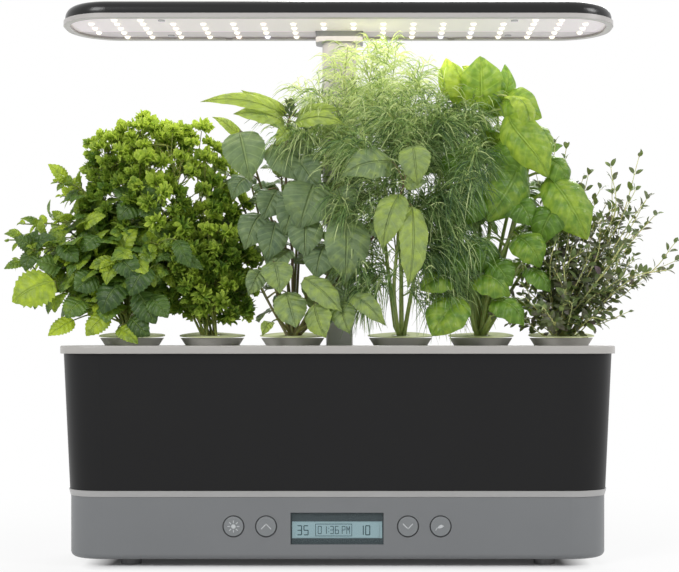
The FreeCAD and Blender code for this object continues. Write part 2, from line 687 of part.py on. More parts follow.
def make_float():
    """Ring float that rides up and down a rod under the deck and tells the water level."""
    x, y = "(pod_shift - pod_near - pod_pitch / 2)", "-pod_forward"
    under = f"{DECK_TOP} - deck_skin"
    low = f"{BOWL_LOW} + bowl_floor + float_low"
    rod_low = f"{low} - float_stop"
    guide = rod("guide_rod", "float_rod_radius", f"{under} - ({rod_low})", x, y, rod_low)
    stop = rod("guide_stop", "float_rod_radius + float_stop", "float_stop - 2 * fit_gap", x, y, rod_low)
    keep("float_guide", fuse("guide", [guide, stop]))
    ring = rod("float_outer", "float_radius", "float_height", x, y, low)
    hole = rod("float_inner", "float_rod_radius + run_gap", "2 * float_height", x, y,
               f"{low} - float_height / 2")
    keep("water_float", cut("ring_float", ring, [hole]))


def make_bowl():
    """Tapered reservoir with a channel at the rear for the light's post."""
    body = new_body("bowl", "0", "0", BOWL_LOW)
    low = outline(body, "bowl_low", "bowl_foot_width", "bowl_foot_depth", "bowl_foot_corner")
    high = outline(body, "bowl_high", "bowl_top_width", "bowl_top_depth", "bowl_top_corner", "bowl_height")
    loft(body, "bowl_block", "AdditiveLoft", low, high)
    wall = "2 * bowl_wall"
    rise = "bowl_floor / bowl_height"
    inner_low = outline(
        body, "hollow_low",
        f"bowl_foot_width + (bowl_top_width - bowl_foot_width) * {rise} - {wall}",
        f"bowl_foot_depth + (bowl_top_depth - bowl_foot_depth) * {rise} - {wall}",
        "bowl_foot_corner - bowl_wall", "bowl_floor")
    inner_high = outline(body, "hollow_high", f"bowl_top_width - {wall}", f"bowl_top_depth - {wall}",
                         "bowl_top_corner - bowl_wall", "bowl_height")
    loft(body, "bowl_hollow", "SubtractiveLoft", inner_low, inner_high)
    slot_front = "(post_back - post_depth / 2 - fit_gap)"
    wall_deep = f"(bowl_foot_depth / 2 - bowl_wall / 2 - {slot_front} + bowl_wall)"
    wall_block = box("channel_wall", "post_width + 2 * (fit_gap + bowl_wall)", wall_deep, "bowl_height", "0",
                     f"{slot_front} - bowl_wall + {wall_deep} / 2", BOWL_LOW)
    slot = box("channel", "post_width + 2 * fit_gap", "bowl_top_depth", "2 * bowl_height", "0",
               f"{slot_front} + bowl_top_depth / 2", f"{BOWL_LOW} - bowl_height / 2")
    axle = rod("impeller_axle", "axle_radius", "rotor_height + bowl_floor + run_gap",
               "pod_shift + pod_near + pod_pitch / 2", "-pod_forward", f"{BOWL_LOW} + bowl_floor / 2")
    keep("reservoir_bowl", cut("bowl_with_channel", fuse("bowl_and_wall", [body, wall_block, axle]), [slot]))


def pod_places():
    """The six pods from left to right."""
    return [f"(pod_shift + {turn} * (pod_near + {count} * pod_pitch))" for turn, count in POD_STEPS]


def make_deck():
    """Lid of the bowl: a plate with a hanging edge, pod holes, a filling slot and a notch for the post."""
    body = new_body("deck", "0", "0", f"{BOWL_TOP} - deck_skirt")
    outside = outline(body, "deck_outside", "deck_width", "deck_depth", "deck_corner")
    block = pad(body, "deck_block", outside, "deck_skirt + deck_skin")
    top = read("deck_skirt") + read("deck_skin")
    round_edge(body, "deck_rounding", block, top, "deck_edge")
    room = "2 * fit_gap"
    inside = outline(body, "deck_inside", f"bowl_top_width + {room}", f"bowl_top_depth + {room}",
                     "bowl_top_corner + fit_gap")
    pocket(body, "deck_hollow", inside, "deck_skirt")
    tools = [rod(f"pod_hole_{n}", "pod_hole_radius", "4 * deck_skin", x, "-pod_forward",
                 f"{BOWL_TOP} - deck_skin") for n, x in enumerate(pod_places())]
    port = new_body("port", "pod_shift", "-port_forward", f"{BOWL_TOP} - deck_skin")
    pad(port, "port_block", outline(port, "port_outline", "port_width", "port_depth", "port_corner"),
        "4 * deck_skin")
    tools.append(port)
    notch_front = "(post_back - post_depth / 2 - fit_gap)"
    tools.append(box("deck_notch", "post_width + 2 * fit_gap", "deck_depth", "4 * deck_skirt", "0",
                     f"{notch_front} + deck_depth / 2", f"{BOWL_TOP} - 2 * deck_skirt"))
    keep("grow_deck", cut("deck_with_holes", body, tools))


def make_pod(number, x):
    """Basket with its flared collar, the sponge in it and the round label on top."""
    y = "-pod_forward"
    low = f"{DECK_TOP} - pod_depth"
    cup_top = "pod_hole_radius - run_gap"
    cup = cone(f"cup_{number}", "pod_tip_radius", cup_top, "pod_depth + fit_gap / 2", x, y, low)
    flare = cone(f"flare_{number}", "pod_collar_radius", "pod_flare_radius", "pod_collar_height",
                 x, y, DECK_TOP)
    hollow = cone(f"cup_hollow_{number}", "pod_tip_radius - pod_wall", f"{cup_top} - pod_wall",
                  "pod_depth - pod_floor", x, y, f"{low} + pod_floor")
    mouth = cone(f"mouth_{number}", f"{cup_top} - pod_wall", "pod_flare_radius - pod_wall",
                 "pod_collar_height + fit_gap / 2", x, y, f"{DECK_TOP} - fit_gap / 4")
    sides = (("pod_slot", "4 * pod_hole_radius"), ("4 * pod_hole_radius", "pod_slot"))
    slots = [box(f"slot_{number}_{n}", *side, "pod_slot_height", x, y, f"{low} + 2 * pod_floor")
             for n, side in enumerate(sides)]
    keep(f"grow_basket_{number}", cut(f"basket_{number}", fuse(f"basket_solid_{number}", [cup, flare]),
                                      [hollow, mouth] + slots))
    inset = "(pod_wall + run_gap)"
    sponge = cone(f"sponge_{number}", f"pod_tip_radius - {inset}", f"{cup_top} - {inset}",
                  "pod_depth - pod_floor", x, y, f"{low} + pod_floor")
    keep(f"grow_sponge_{number}", sponge)
    disc = rod(f"label_disc_{number}", "label_radius", "label_thickness", x, y, LABEL_LOW)
    hole = rod(f"label_hole_{number}", "stem_hole_radius", "3 * label_thickness", x, y,
               f"{LABEL_LOW} - label_thickness")
    keep(f"pod_label_{number}", cut(f"label_{number}", disc, [hole]))


def make_post():
    """Fixed square tube that stands in the base."""
    body = new_body("post", "0", "post_back", POST_LOW)
    outside = outline(body, "post_outside", "post_width", "post_depth", "post_corner")
    pad(body, "post_block", outside, "post_length")
    wall = "2 * post_wall"
    inner = outline(body, "post_inside", f"post_width - {wall}", f"post_depth - {wall}",
                    "post_corner - post_wall", "-post_wall")
    pocket(body, "post_bore", inner, "post_length + 2 * post_wall")
    keep("lower_post", body)


def make_sleeve():
    """Sleeve that telescopes on the post, with a shoulder under the lamp and a plate inside the hood."""
    body = new_body("sleeve", "0", "post_back", f"{TRIM_TOP} - sleeve_length")
    side = "2 * (run_gap + sleeve_wall)"
    pad(body, "sleeve_block", outline(body, "sleeve_outside", f"post_width + {side}", f"post_depth + {side}",
                                      "post_corner + run_gap + sleeve_wall"), "sleeve_length")
    shoulder = outline(body, "shoulder_outside", "collar_width", "collar_depth",
                       "post_corner + run_gap + sleeve_wall", "sleeve_length - collar_height - trim_height")
    pad(body, "shoulder_block", shoulder, "collar_height + trim_height")
    bore = outline(body, "sleeve_bore_outline", "post_width + 2 * run_gap", "post_depth + 2 * run_gap",
                   "post_corner + run_gap", "-sleeve_wall")
    pocket(body, "sleeve_bore", bore, "sleeve_length + 2 * sleeve_wall")
    keep("post_sleeve", body)


def make_hood():
    """Trim ring, black cover, lamp panel with its lenses, and the plate behind it."""
    trim = new_body("trim", "0", "0", "hood_level")
    ring = pad(trim, "trim_block", outline(trim, "trim_outside", "hood_width", "hood_depth", "hood_corner"),
               "trim_height")
    lip = "2 * trim_lip"
    inside = outline(trim, "trim_inside", f"hood_width - {lip}", f"hood_depth - {lip}",
                     "hood_corner - trim_lip", "-trim_wall")
    pocket(trim, "trim_opening", inside, "trim_height + 2 * trim_wall")
    rebate = "2 * trim_wall"
    seat = outline(trim, "seat_outline", f"hood_width - {rebate}", f"hood_depth - {rebate}",
                   "hood_corner - trim_wall", "trim_lip_height")
    pocket(trim, "trim_seat", seat, "trim_height")
    notch = collar_block("trim_notch", "-2 * trim_height", "3 * trim_height")
    slots = [box(f"lip_slot_{n}", "slot_width", "slot_depth", "3 * trim_lip_height",
                 f"{n} * slot_half_span", "hood_depth / 2 - trim_lip + slot_depth / 2 - fit_gap / 4",
                 "hood_level - trim_lip_height") for n in (-1, 1)]
    keep("hood_trim", cut("trim_with_notch", trim, [notch] + slots))

    cover = new_body("cover", "0", "0", TRIM_TOP)
    inset = "2 * cover_inset"
    outside = outline(cover, "cover_outside", f"hood_width - {inset}", f"hood_depth - {inset}",
                      "hood_corner - cover_inset")
    block = pad(cover, "cover_block", outside, "cover_height")
    round_edge(cover, "cover_rounding", block, read("cover_height"), "cover_edge")
    deep = "2 * (cover_inset + cover_side)"
    hollow = outline(cover, "cover_inside", f"hood_width - {deep}", f"hood_depth - {deep}",
                     "hood_corner - cover_inset - cover_side", "-cover_wall")
    pocket(cover, "cover_hollow", hollow, "cover_height")
    studs = [rod(f"cover_stud_{n}", "boss_radius", "cover_height - cover_wall / 2 - sink_thickness", x, y,
                 f"{TRIM_TOP} + sink_thickness") for n, (x, y) in enumerate(hood_screw_places())]
    drills = [rod(f"cover_drill_{n}", "screw_radius + fit_gap / 2", "cover_height - 2 * cover_wall", x, y,
                  TRIM_TOP) for n, (x, y) in enumerate(hood_screw_places())]
    keep("hood_cover", cut("cover_drilled", fuse("cover_with_studs", [cover] + studs), drills))

    panel = new_body("panel", "0", "0", f"{TRIM_TOP} - panel_thickness")
    play = "2 * (trim_wall + fit_gap)"
    plate = outline(panel, "panel_outline", f"hood_width - {play}", f"hood_depth - {play}",
                    "hood_corner - trim_wall - fit_gap")
    pad(panel, "panel_block", plate, "panel_thickness")
    tools = [collar_block("panel_collar", "-2 * panel_thickness", "3 * panel_thickness")]
    tools += [rod(f"panel_hole_{n}", "screw_radius + fit_gap", "3 * panel_thickness", x, y,
                  f"{TRIM_TOP} - 2 * panel_thickness")
              for n, (x, y) in enumerate(hood_screw_places())]
    keep("led_panel", cut("panel_with_holes", panel, tools))

    sink = new_body("sink", "0", "0", TRIM_TOP)
    play = "2 * (cover_inset + sink_inset)"
    plate = outline(sink, "sink_outline", f"hood_width - {play}", f"hood_depth - {play}",
                    "hood_corner - cover_inset - sink_inset")
    pad(sink, "sink_block", plate, "sink_thickness")
    tools = [collar_block("sink_bore", "-sink_thickness", "3 * sink_thickness", "-sink_shelf")]
    tools += [rod(f"sink_hole_{n}", "screw_radius + fit_gap", "3 * sink_thickness", x, y,
                  f"{TRIM_TOP} - sink_thickness")
              for n, (x, y) in enumerate(hood_screw_places())]
    keep("hood_heat_sink", cut("sink_with_holes", sink, tools))

    screws = []
    for n, (x, y) in enumerate(hood_screw_places()):
        low = f"{TRIM_TOP} - panel_thickness"
        head = rod(f"hood_screw_head_{n}", "screw_head_radius", "screw_head_height / 2", x, y,
                   f"{low} - screw_head_height / 2")
        shank = rod(f"hood_screw_shank_{n}", "screw_radius",
                    "cover_height - 3 * cover_wall + panel_thickness", x, y, f"{low} - screw_head_height / 4")
        screws.append(fuse(f"hood_screw_{n}", [head, shank]))
    group = doc.addObject("Part::Compound", "hood_screw_group")
    group.Links = screws
    keep("hood_screws", group)


def hood_screw_places():
    """Screws that hold the lamp panel and the plate to the cover."""
    reaches = ("-hood_screw_front", "hood_screw_rear")
    return [(f"{turn} * hood_screw_half_span", y) for turn in (-1, 1) for y in reaches]


def collar_block(name, low, height, extra="0"):
    """Block the size of the sleeve's shoulder with its clearance."""
    more = f"2 * (fit_gap + {extra})"
    return box(name, f"collar_width + {more}", f"collar_depth + {more}", height, "0", "post_back",
               f"{TRIM_TOP} + {low}")


def lens_columns():
    """Distances of the lens columns from the middle, closer together near the rounded ends."""
    pitch, even = read("lens_pitch"), int(read("lens_columns"))
    columns = [(number + 0.5) * pitch for number in range(even)]
    return columns + [columns[-1] + (number + 1) * read("lens_end_pitch") for number in range(2)]


def lens_places():
    """Middle of every lens: rows inside the rounded trim, left free at the collar."""
    edge = read("trim_lip") + read("lens_edge") + read("lens_radius")
    half_width = read("hood_width") / 2 - edge
    half_depth = read("hood_depth") / 2 - edge
    corner = read("hood_corner") - edge
    room = read("lens_radius") + read("lens_free")
    free_x = read("collar_width") / 2 + room
    free_y = read("post_back") - read("collar_depth") / 2 - room
    columns = lens_columns()
    places = [(side * x, -read("lens_extra_row")) for x in columns[-3:-1] for side in (-1, 1)]
    for row in range(4):
        y = row * read("lens_row_pitch") - read("lens_front_row")
        for x in [side * column for column in columns for side in (-1, 1)]:
            over_x = max(abs(x) - (half_width - corner), 0)
            over_y = max(abs(y) - (half_depth - corner), 0)
            inside = math.hypot(over_x, over_y) < corner and abs(y) < half_depth
            at_collar = abs(x) < free_x and y > free_y
            if inside and not at_collar:
                places.append((x, y))
    return places


def make_lenses():
    """All lenses of the lamp panel as one group of small domes."""
    radius, drop = read("lens_radius"), read("lens_drop")
    level = read("hood_level") + read("trim_height") - read("panel_thickness")
    dome = Part.makeSphere(radius, Vector(0, 0, 0), Vector(0, 0, 1), -90, 0, 360)
    squash = FreeCAD.Matrix()
    squash.scale(1, 1, drop / radius)
    dome = dome.transformGeometry(squash)
    group = doc.addObject("Part::Feature", "lenses")
    group.Shape = Part.makeCompound([dome.translated(Vector(x, y, 0)) for x, y in lens_places()])
    group.Placement = Placement(Vector(0, 0, level), Rotation())
    keep("led_lenses", group)


def border_block(name, border, side):
    """Everything on one side of the leaning border between two neighbouring plants."""
    pitch = read("pod_pitch")
    places = [read("pod_shift") + turn * (read("pod_near") + count * pitch) for turn, count in POD_STEPS]
    middle = (places[border] + places[border + 1]) / 2
    reach, level = 2 * read("deck_width"), read("hood_level")
    layers = ("foot_height", "base_height", "tray_height", "bowl_height", "deck_skin")
    deck_top = sum(read(word) for word in layers)
    foot = Vector(middle + read(f"border_{border + 1}_aside"), 0, deck_top)
    turn = Rotation(Vector(0, 1, 0), read(f"border_{border + 1}_lean"))
    start = -read("leaf_gap") / 2 if side > 0 else read("leaf_gap") / 2 - reach
    block = doc.addObject("Part::Box", name)
    block.Length, block.Width, block.Height = reach, reach, 3 * level
    block.Placement = Placement(foot, turn) * Placement(Vector(start, -reach / 2, -level), Rotation())
    return block


def leaf_outlines(body, plant):
    """Outlines of one plant from its stem up, through the slices of its leaves."""
    stem = "2 * (stem_hole_radius - stem_play)"
    rows = [(stem, stem, "0", "0", "0"), (stem, stem, "leaf_start", "0", "0")]
    for number in range(len(PLANTS[plant])):
        above, aside, behind, half_width, half_depth = [f"{plant}_{number}_{word}" for word in SLICE_WORDS]
        rows.append((f"2 * {half_width}", f"2 * {half_depth}", above, aside, behind))
    outlines = []
    for number, (width, depth, level, aside, behind) in enumerate(rows):
        corner = f"slice_corner * min({width}; {depth})"
        outlines.append(outline(body, f"{plant}_slice_{number}", width, depth, corner, level, aside, behind))
    return outlines


def make_plants():
    """Six plants: a stem through the label and one mass of leaves, clear of the plants beside it."""
    for pod, plant in enumerate(PLANTS):
        body = new_body(f"{plant}_body", pod_places()[pod], "-pod_forward", DECK_TOP)
        loft(body, f"{plant}_leaves", "AdditiveLoft", *leaf_outlines(body, plant))
        tools = [sleeve_room(plant)]
        if pod > 0:
            tools.append(border_block(f"{plant}_left_room", pod - 1, -1))
        if pod < len(PLANTS) - 1:
            tools.append(border_block(f"{plant}_right_room", pod, 1))
        keep(plant, cut(f"{plant}_clear", body, tools))


def sleeve_room(plant):
    """Space that the sleeve needs, with the leaves' clearance."""
    side = "2 * (run_gap + sleeve_wall + leaf_gap)"
    return box(f"{plant}_post_room", f"post_width + {side}", f"post_depth + {side}", "hood_level", "0",
               "post_back", BASE_TOP)


def write_parts():
    """Checks every object and sub-part, then writes one file for each sub-part."""
    doc.recompute()
    faults = [f"{thing.Name} {thing.State}" for thing in doc.Objects
              if "Invalid" in thing.State or "Error" in thing.State]
    for label, thing in parts.items():
        shape = thing.Shape
        if shape.isNull() or not shape.isValid() or not shape.Solids:
            faults.append(f"{label} has no valid shape")
    if faults:
        raise RuntimeError("; ".join(faults))
    os.makedirs("parts", exist_ok=True)
    for label, thing in parts.items():
        thing.Shape.exportStep(f"parts/{label}.step")
        solids = len(thing.Shape.Solids)
        print(f"{label}: {solids} solid(s), {thing.Shape.Volume / 1000:.1f} cm3")


make_feet()
make_base_housing()
make_bottom_cover()
make_base_tray()
make_base_screws()
make_display()
make_buttons()
make_inlet()
make_pump()
make_float()
make_bowl()
make_deck()
for number, x in enumerate(pod_places(), start=1):
    make_pod(number, x)
make_post()
make_sleeve()
make_hood()
make_lenses()
make_plants()
write_parts()
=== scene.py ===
# %% [markdown]
# # A countertop hydroponic garden
#
# A slim garden for a kitchen counter. From the table up it has a base with a display and four
# buttons, a charcoal water bowl, a pale deck with six pods, six herbs, and a lamp hood on a post
# that slides up as the herbs grow.
#
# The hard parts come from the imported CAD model. This script gives them their finish, adds the
# small details on them, and grows the six herbs, leaf by leaf, in place of their plain solids.

# %% Load the frame
import math

import bpy
import numpy as np
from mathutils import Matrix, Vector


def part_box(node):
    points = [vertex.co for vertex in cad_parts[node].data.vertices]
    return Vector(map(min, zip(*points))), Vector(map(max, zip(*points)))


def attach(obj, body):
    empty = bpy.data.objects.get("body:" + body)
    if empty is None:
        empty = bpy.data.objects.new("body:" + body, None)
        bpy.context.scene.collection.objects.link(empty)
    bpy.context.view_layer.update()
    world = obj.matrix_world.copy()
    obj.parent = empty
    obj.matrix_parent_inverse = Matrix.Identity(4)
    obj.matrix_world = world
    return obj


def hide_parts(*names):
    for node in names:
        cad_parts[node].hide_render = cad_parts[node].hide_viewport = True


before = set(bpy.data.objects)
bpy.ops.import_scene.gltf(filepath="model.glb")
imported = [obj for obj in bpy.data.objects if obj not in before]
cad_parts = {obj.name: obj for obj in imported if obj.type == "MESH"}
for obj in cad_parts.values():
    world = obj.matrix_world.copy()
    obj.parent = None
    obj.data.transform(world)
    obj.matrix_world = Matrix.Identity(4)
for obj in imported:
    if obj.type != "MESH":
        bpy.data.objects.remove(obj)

MM = 0.001
bpy.context.scene.view_settings.view_transform = "Standard"
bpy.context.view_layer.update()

# %% [markdown]
# ## The camera
#
# The view is level, from straight in front, about a metre away. A level camera keeps the post
# and the sides of the bowl upright, and a small lens shift moves the picture up, as an
# architect's camera does, in place of tilting it.

# %% The camera
EYE = (0.025, -1.116, 0.160)
LENS = 79.85
SENSOR = 36.0
PHOTO = (679, 572)
HORIZON = (372.5, 340.0)

lens = bpy.data.cameras.new("camera")
lens.lens = LENS
lens.sensor_width = SENSOR
lens.shift_x = (PHOTO[0] / 2 - HORIZON[0]) / PHOTO[0]
lens.shift_y = (HORIZON[1] - PHOTO[1] / 2) / PHOTO[0]
camera = bpy.data.objects.new("camera", lens)
camera.location = EYE
camera.rotation_euler = (math.radians(90), 0, 0)
bpy.context.scene.collection.objects.link(camera)
bpy.context.scene.camera = camera
print("shift", round(lens.shift_x, 4), round(lens.shift_y, 4))


# %% [markdown]
# The herbs are arranged from the picture, so one helper turns a place in the picture and
# a distance behind the middle of the garden, in millimetres, into a point in space.

# %% From a place in the picture to a point in space
FOCAL = LENS / SENSOR * PHOTO[0]


def spot(across, down, behind=-10.0):
    """The point in metres that shows at this place of the picture, this far behind the middle."""
    away = behind * MM - EYE[1]
    x = EYE[0] + (across - HORIZON[0]) * away / FOCAL
    z = EYE[2] + (HORIZON[1] - down) * away / FOCAL
    return np.array([x, behind * MM, z])


print("one picture point is", round(-EYE[1] / FOCAL / MM, 3), "mm at the herbs")

# %% [markdown]
# ## Colours and nodes
#
# Colours are written as they look on a screen, in sRGB hex, and one function turns them into the
# linear values that the shaders work with. One more function adds a shader node with its
# settings and links, so that a material reads as a short list.

# %% Colour and node helpers


def paint(code):
    """An sRGB hex colour as linear red, green, blue and alpha."""
    parts = [int(code[i:i + 2], 16) / 255 for i in (1, 3, 5)]
    return [p / 12.92 if p <= 0.04045 else ((p + 0.055) / 1.055) ** 2.4 for p in parts] + [1.0]


def add(tree, kind, inputs=None, **settings):
    """Adds a node. Inputs are values or other nodes' outputs, by the input's name or number."""
    new = tree.nodes.new(kind)
    for name, value in settings.items():
        setattr(new, name, value)
    for name, value in (inputs or {}).items():
        if isinstance(value, bpy.types.NodeSocket):
            tree.links.new(value, new.inputs[name])
        else:
            new.inputs[name].default_value = value
    return new


def start(name):
    """A new material with an empty tree, and its output node."""
    material = bpy.data.materials.new(name)
    material.use_nodes = True
    material.node_tree.nodes.clear()
    return material, material.node_tree, add(material.node_tree, "ShaderNodeOutputMaterial")


# %% [markdown]
# ## Floor, world and lamps
#
# Product pictures of this kind stand on white. The floor is matt under the base, where it lies in
# deep shadow. About two centimetres clear of the base it turns mostly white, which leaves a thin
# dark contact shadow, and half a metre away it is plain white. The world lights the object as a
# dim white room, and shows as white only to the camera and in reflections.

# %% The world
world = bpy.data.worlds.new("white_room")
world.use_nodes = True
bpy.context.scene.world = world
room = world.node_tree
room.nodes.clear()
ray = add(room, "ShaderNodeLightPath")
seen = add(room, "ShaderNodeMath", {0: ray.outputs["Is Camera Ray"], 1: ray.outputs["Is Glossy Ray"]},
           operation="MAXIMUM")
seen = add(room, "ShaderNodeMath", {0: seen.outputs[0], 1: ray.outputs["Is Transmission Ray"]},
           operation="MAXIMUM")
dim = add(room, "ShaderNodeBackground", {"Color": paint("#f4f6f8"), "Strength": 0.36})
white = add(room, "ShaderNodeBackground", {"Color": paint("#ffffff"), "Strength": 1.0})
sky = add(room, "ShaderNodeMixShader", {0: seen.outputs[0], 1: dim.outputs[0], 2: white.outputs[0]})
add(room, "ShaderNodeOutputWorld", {"Surface": sky.outputs[0]})

# %% The floor
FLOOR_REACH = 4.0
FADE_FROM = 0.25  # how far from the middle the floor starts to turn from mostly to plain white
FADE_TO = 0.55
UNDER_BASE = (0.160, 0.050, 0)  # half the width and depth of the deepest shadow
CONTACT_REACH = 0.022  # how far the contact shadow runs out from there

corners = [(-FLOOR_REACH, -FLOOR_REACH, 0), (FLOOR_REACH, -FLOOR_REACH, 0),
           (FLOOR_REACH, FLOOR_REACH, 0), (-FLOOR_REACH, FLOOR_REACH, 0)]
floor_mesh = bpy.data.meshes.new("floor")
floor_mesh.from_pydata(corners, [], [(0, 1, 2, 3)])
floor = bpy.data.objects.new("floor", floor_mesh)
bpy.context.scene.collection.objects.link(floor)

floor_white, tree, out = start("pale_floor")
ray = add(tree, "ShaderNodeLightPath")
seen = add(tree, "ShaderNodeMath", {0: ray.outputs["Is Camera Ray"], 1: ray.outputs["Is Glossy Ray"]},
           operation="MAXIMUM")
place = add(tree, "ShaderNodeTexCoord")
far = add(tree, "ShaderNodeVectorMath", {0: place.outputs["Object"]}, operation="LENGTH")
fade = add(tree, "ShaderNodeMapRange", {"Value": far.outputs["Value"], "From Min": FADE_FROM,
                                        "From Max": FADE_TO, "To Min": 0.86, "To Max": 1.0})
inside = add(tree, "ShaderNodeVectorMath", {0: place.outputs["Object"]}, operation="ABSOLUTE")
beyond = add(tree, "ShaderNodeVectorMath", {0: inside.outputs[0], 1: UNDER_BASE}, operation="SUBTRACT")
beyond = add(tree, "ShaderNodeVectorMath", {0: beyond.outputs[0], 1: (0, 0, 0)}, operation="MAXIMUM")
clear_of = add(tree, "ShaderNodeVectorMath", {0: beyond.outputs[0]}, operation="LENGTH")
near = add(tree, "ShaderNodeMapRange", {"Value": clear_of.outputs["Value"], "From Max": CONTACT_REACH,
                                        "To Min": 0.035})
fade = add(tree, "ShaderNodeMath", {0: fade.outputs[0], 1: near.outputs[0]}, operation="MULTIPLY")
share = add(tree, "ShaderNodeMath", {0: fade.outputs[0], 1: seen.outputs[0]}, operation="MULTIPLY")
matt = add(tree, "ShaderNodeBsdfDiffuse", {"Color": paint("#ebebeb")})
glow = add(tree, "ShaderNodeEmission", {"Color": paint("#ffffff"), "Strength": 1.0})
both = add(tree, "ShaderNodeMixShader", {0: share.outputs[0], 1: matt.outputs[0], 2: glow.outputs[0]})
tree.links.new(both.outputs[0], out.inputs["Surface"])
floor_mesh.materials.append(floor_white)

# %% [markdown]
# Three large soft lamps stand round the garden: one high in front on the left, a weaker one on
# the right, and one behind that shines through the leaves. A small one hangs under the hood's
# panel, where the diodes are, and rides up with the hood. Their power is set so that a colour
# renders about as it is written.

# %% The lamps


def soft_lamp(name, at, towards, width, power):
    """A large square lamp at a point, turned towards another point."""
    lamp = bpy.data.lights.new(name, "AREA")
    lamp.shape = "SQUARE"
    lamp.size = width
    lamp.energy = power
    stand = bpy.data.objects.new(name, lamp)
    stand.location = at
    aim = np.array(towards) - np.array(at)
    level = math.hypot(aim[0], aim[1])
    stand.rotation_euler = (math.atan2(level, -aim[2]), 0, math.atan2(-aim[0], aim[1]))
    bpy.context.scene.collection.objects.link(stand)
    return stand


MIDDLE = (0, 0, 0.2)
soft_lamp("lamp_front_left", (-1.2, -1.6, 1.5), MIDDLE, 0.9, 27)
soft_lamp("lamp_right", (1.5, -0.6, 1.1), MIDDLE, 0.6, 13)
soft_lamp("lamp_behind", (0.3, 1.5, 1.3), MIDDLE, 0.9, 20)
grow_light = soft_lamp("lamp_of_the_hood", (0, -0.008, 0.388), (0, -0.008, 0), 0.36, 0.28)
grow_light.visible_camera = False
grow_light.visible_glossy = False
grow_light.data.shape = "RECTANGLE"
grow_light.data.size_y = 0.06
grow_light.data.color = paint("#fff4e6")[:3]
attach(grow_light, "lamp")

# %% [markdown]
# ## Moulded plastic
#
# Nearly all hard parts are injection-moulded ABS. Its surface copies the mould: an etched mould
# gives a fine even grain with broad soft highlights, and a polished one gives clearer ones. The
# grain is about 0.1 mm on the real part. It is drawn at 1 mm here, because it is too fine to show
# at this distance. Slow clouds of a second, near colour keep large faces from looking flat. ABS
# has an IOR of 1.54. Moulded corners are never quite sharp, so the shader rounds their highlights
# by a few tenths of a millimetre.

# %% The plastic recipe
CLOUD_SIZE = 60 * MM


def moulded(name, colour, second, roughness, grain=1.0, depth=0.02, corner=0.5, mirror=0.5):
    """Moulded plastic: two near colours in soft clouds, a grain in mm, and rounded highlights."""
    material, tree, out = start(name)
    place = add(tree, "ShaderNodeTexCoord")
    cloud = add(tree, "ShaderNodeTexNoise", {"Vector": place.outputs["Object"], "Scale": 1 / CLOUD_SIZE,
                                             "Detail": 3.0})
    tone = add(tree, "ShaderNodeMix", {0: cloud.outputs["Fac"], 6: paint(colour), 7: paint(second)},
               data_type="RGBA")
    sheen = add(tree, "ShaderNodeMapRange", {"Value": cloud.outputs["Fac"], "To Min": roughness - 0.04,
                                             "To Max": roughness + 0.04})
    speck = add(tree, "ShaderNodeTexNoise", {"Vector": place.outputs["Object"],
                                             "Scale": 1 / (grain * MM), "Detail": 2.0})
    edge = add(tree, "ShaderNodeBevel", {"Radius": corner * MM}, samples=4)
    bump = add(tree, "ShaderNodeBump", {"Height": speck.outputs["Fac"], "Strength": 0.3,
                                        "Distance": depth * MM, "Normal": edge.outputs[0]})
    shine = add(tree, "ShaderNodeBsdfPrincipled", {
        "Base Color": tone.outputs[2], "Roughness": sheen.outputs[0], "IOR": 1.54,
        "Specular IOR Level": mirror, "Normal": bump.outputs[0]})
    tree.links.new(shine.outputs[0], out.inputs["Surface"])
    return material


def dress(material, *nodes):
    """Gives a material to CAD nodes."""
    for name in nodes:
        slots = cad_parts[name].data.materials
        slots.clear()
        slots.append(material)


# %% [markdown]
# The housing is a mid grey, the band above it a lighter grey, and the bowl is charcoal, all
# etched. The hood's cover comes from a polished mould, so it is black and smooth, with clearer
# highlights than the rest. The baskets, the riser, the impeller and the float are polypropylene,
# which is paler and a little duller. One table holds all the plastics.

# %% Plastics of the body
BASKETS = [f"grow_basket_{i}" for i in range(1, 7)]
BUTTONS = ["light_button", "up_button", "down_button", "feed_button"]
PLASTICS = [
    # name, two near colours, roughness, other settings, CAD nodes
    ("etched_abs_mid_grey", "#797b7d", "#737577", 0.42, {}, ["base_housing", "base_bottom_cover"]),
    ("etched_abs_light_grey", "#b3b2b1", "#abaaa9", 0.40, {}, ["base_top_tray"]),
    ("etched_abs_charcoal", "#161617", "#131314", 0.42, {"grain": 1.4, "depth": 0.012, "mirror": 0.2},
     ["reservoir_bowl"]),
    ("etched_abs_pale_grey", "#b4b1ad", "#aeaba7", 0.38, {}, ["grow_deck"]),
    # The lower post and the sleeve are one grey plastic. The lower post is painted lighter, as painted light
    # against the herbs' shade, and the sleeve darker, as painted shade.
    ("etched_abs_grey_painted_light", "#cbcacc", "#c4c3c6", 0.36, {}, ["lower_post"]),
    ("etched_abs_grey_painted_shade", "#a3a2a5", "#9c9b9e", 0.36, {}, ["post_sleeve"]),
    ("polished_abs_black", "#0f0f0f", "#121213", 0.24, {"depth": 0.0, "mirror": 0.3}, ["hood_cover"]),
    ("satin_abs_warm_grey", "#bcb8b5", "#b5b1ae", 0.30, {"depth": 0.01}, ["hood_trim"]),
    ("etched_abs_button_grey", "#818486", "#7b7e80", 0.36, {"corner": 0.8}, BUTTONS),
    ("black_abs_fittings", "#1c1c1d", "#19191a", 0.45, {},
     ["power_inlet", "pump_motor", "drive_magnet", "pump_cover", "tact_switches"]),
    ("grey_abs_module", "#55595b", "#505456", 0.45, {}, ["lcd_module"]),
    ("grey_polypropylene", "#bdbbb6", "#b4b2ad", 0.5, {}, ["pump_riser", "float_guide"] + BASKETS),
    ("white_polypropylene", "#d8d8d2", "#cfcfca", 0.45, {}, ["pump_impeller", "water_float"]),
]
for name, colour, second, roughness, settings, nodes in PLASTICS:
    dress(moulded(name, colour, second, roughness, **settings), *nodes)
print("plastics:", len(PLASTICS))

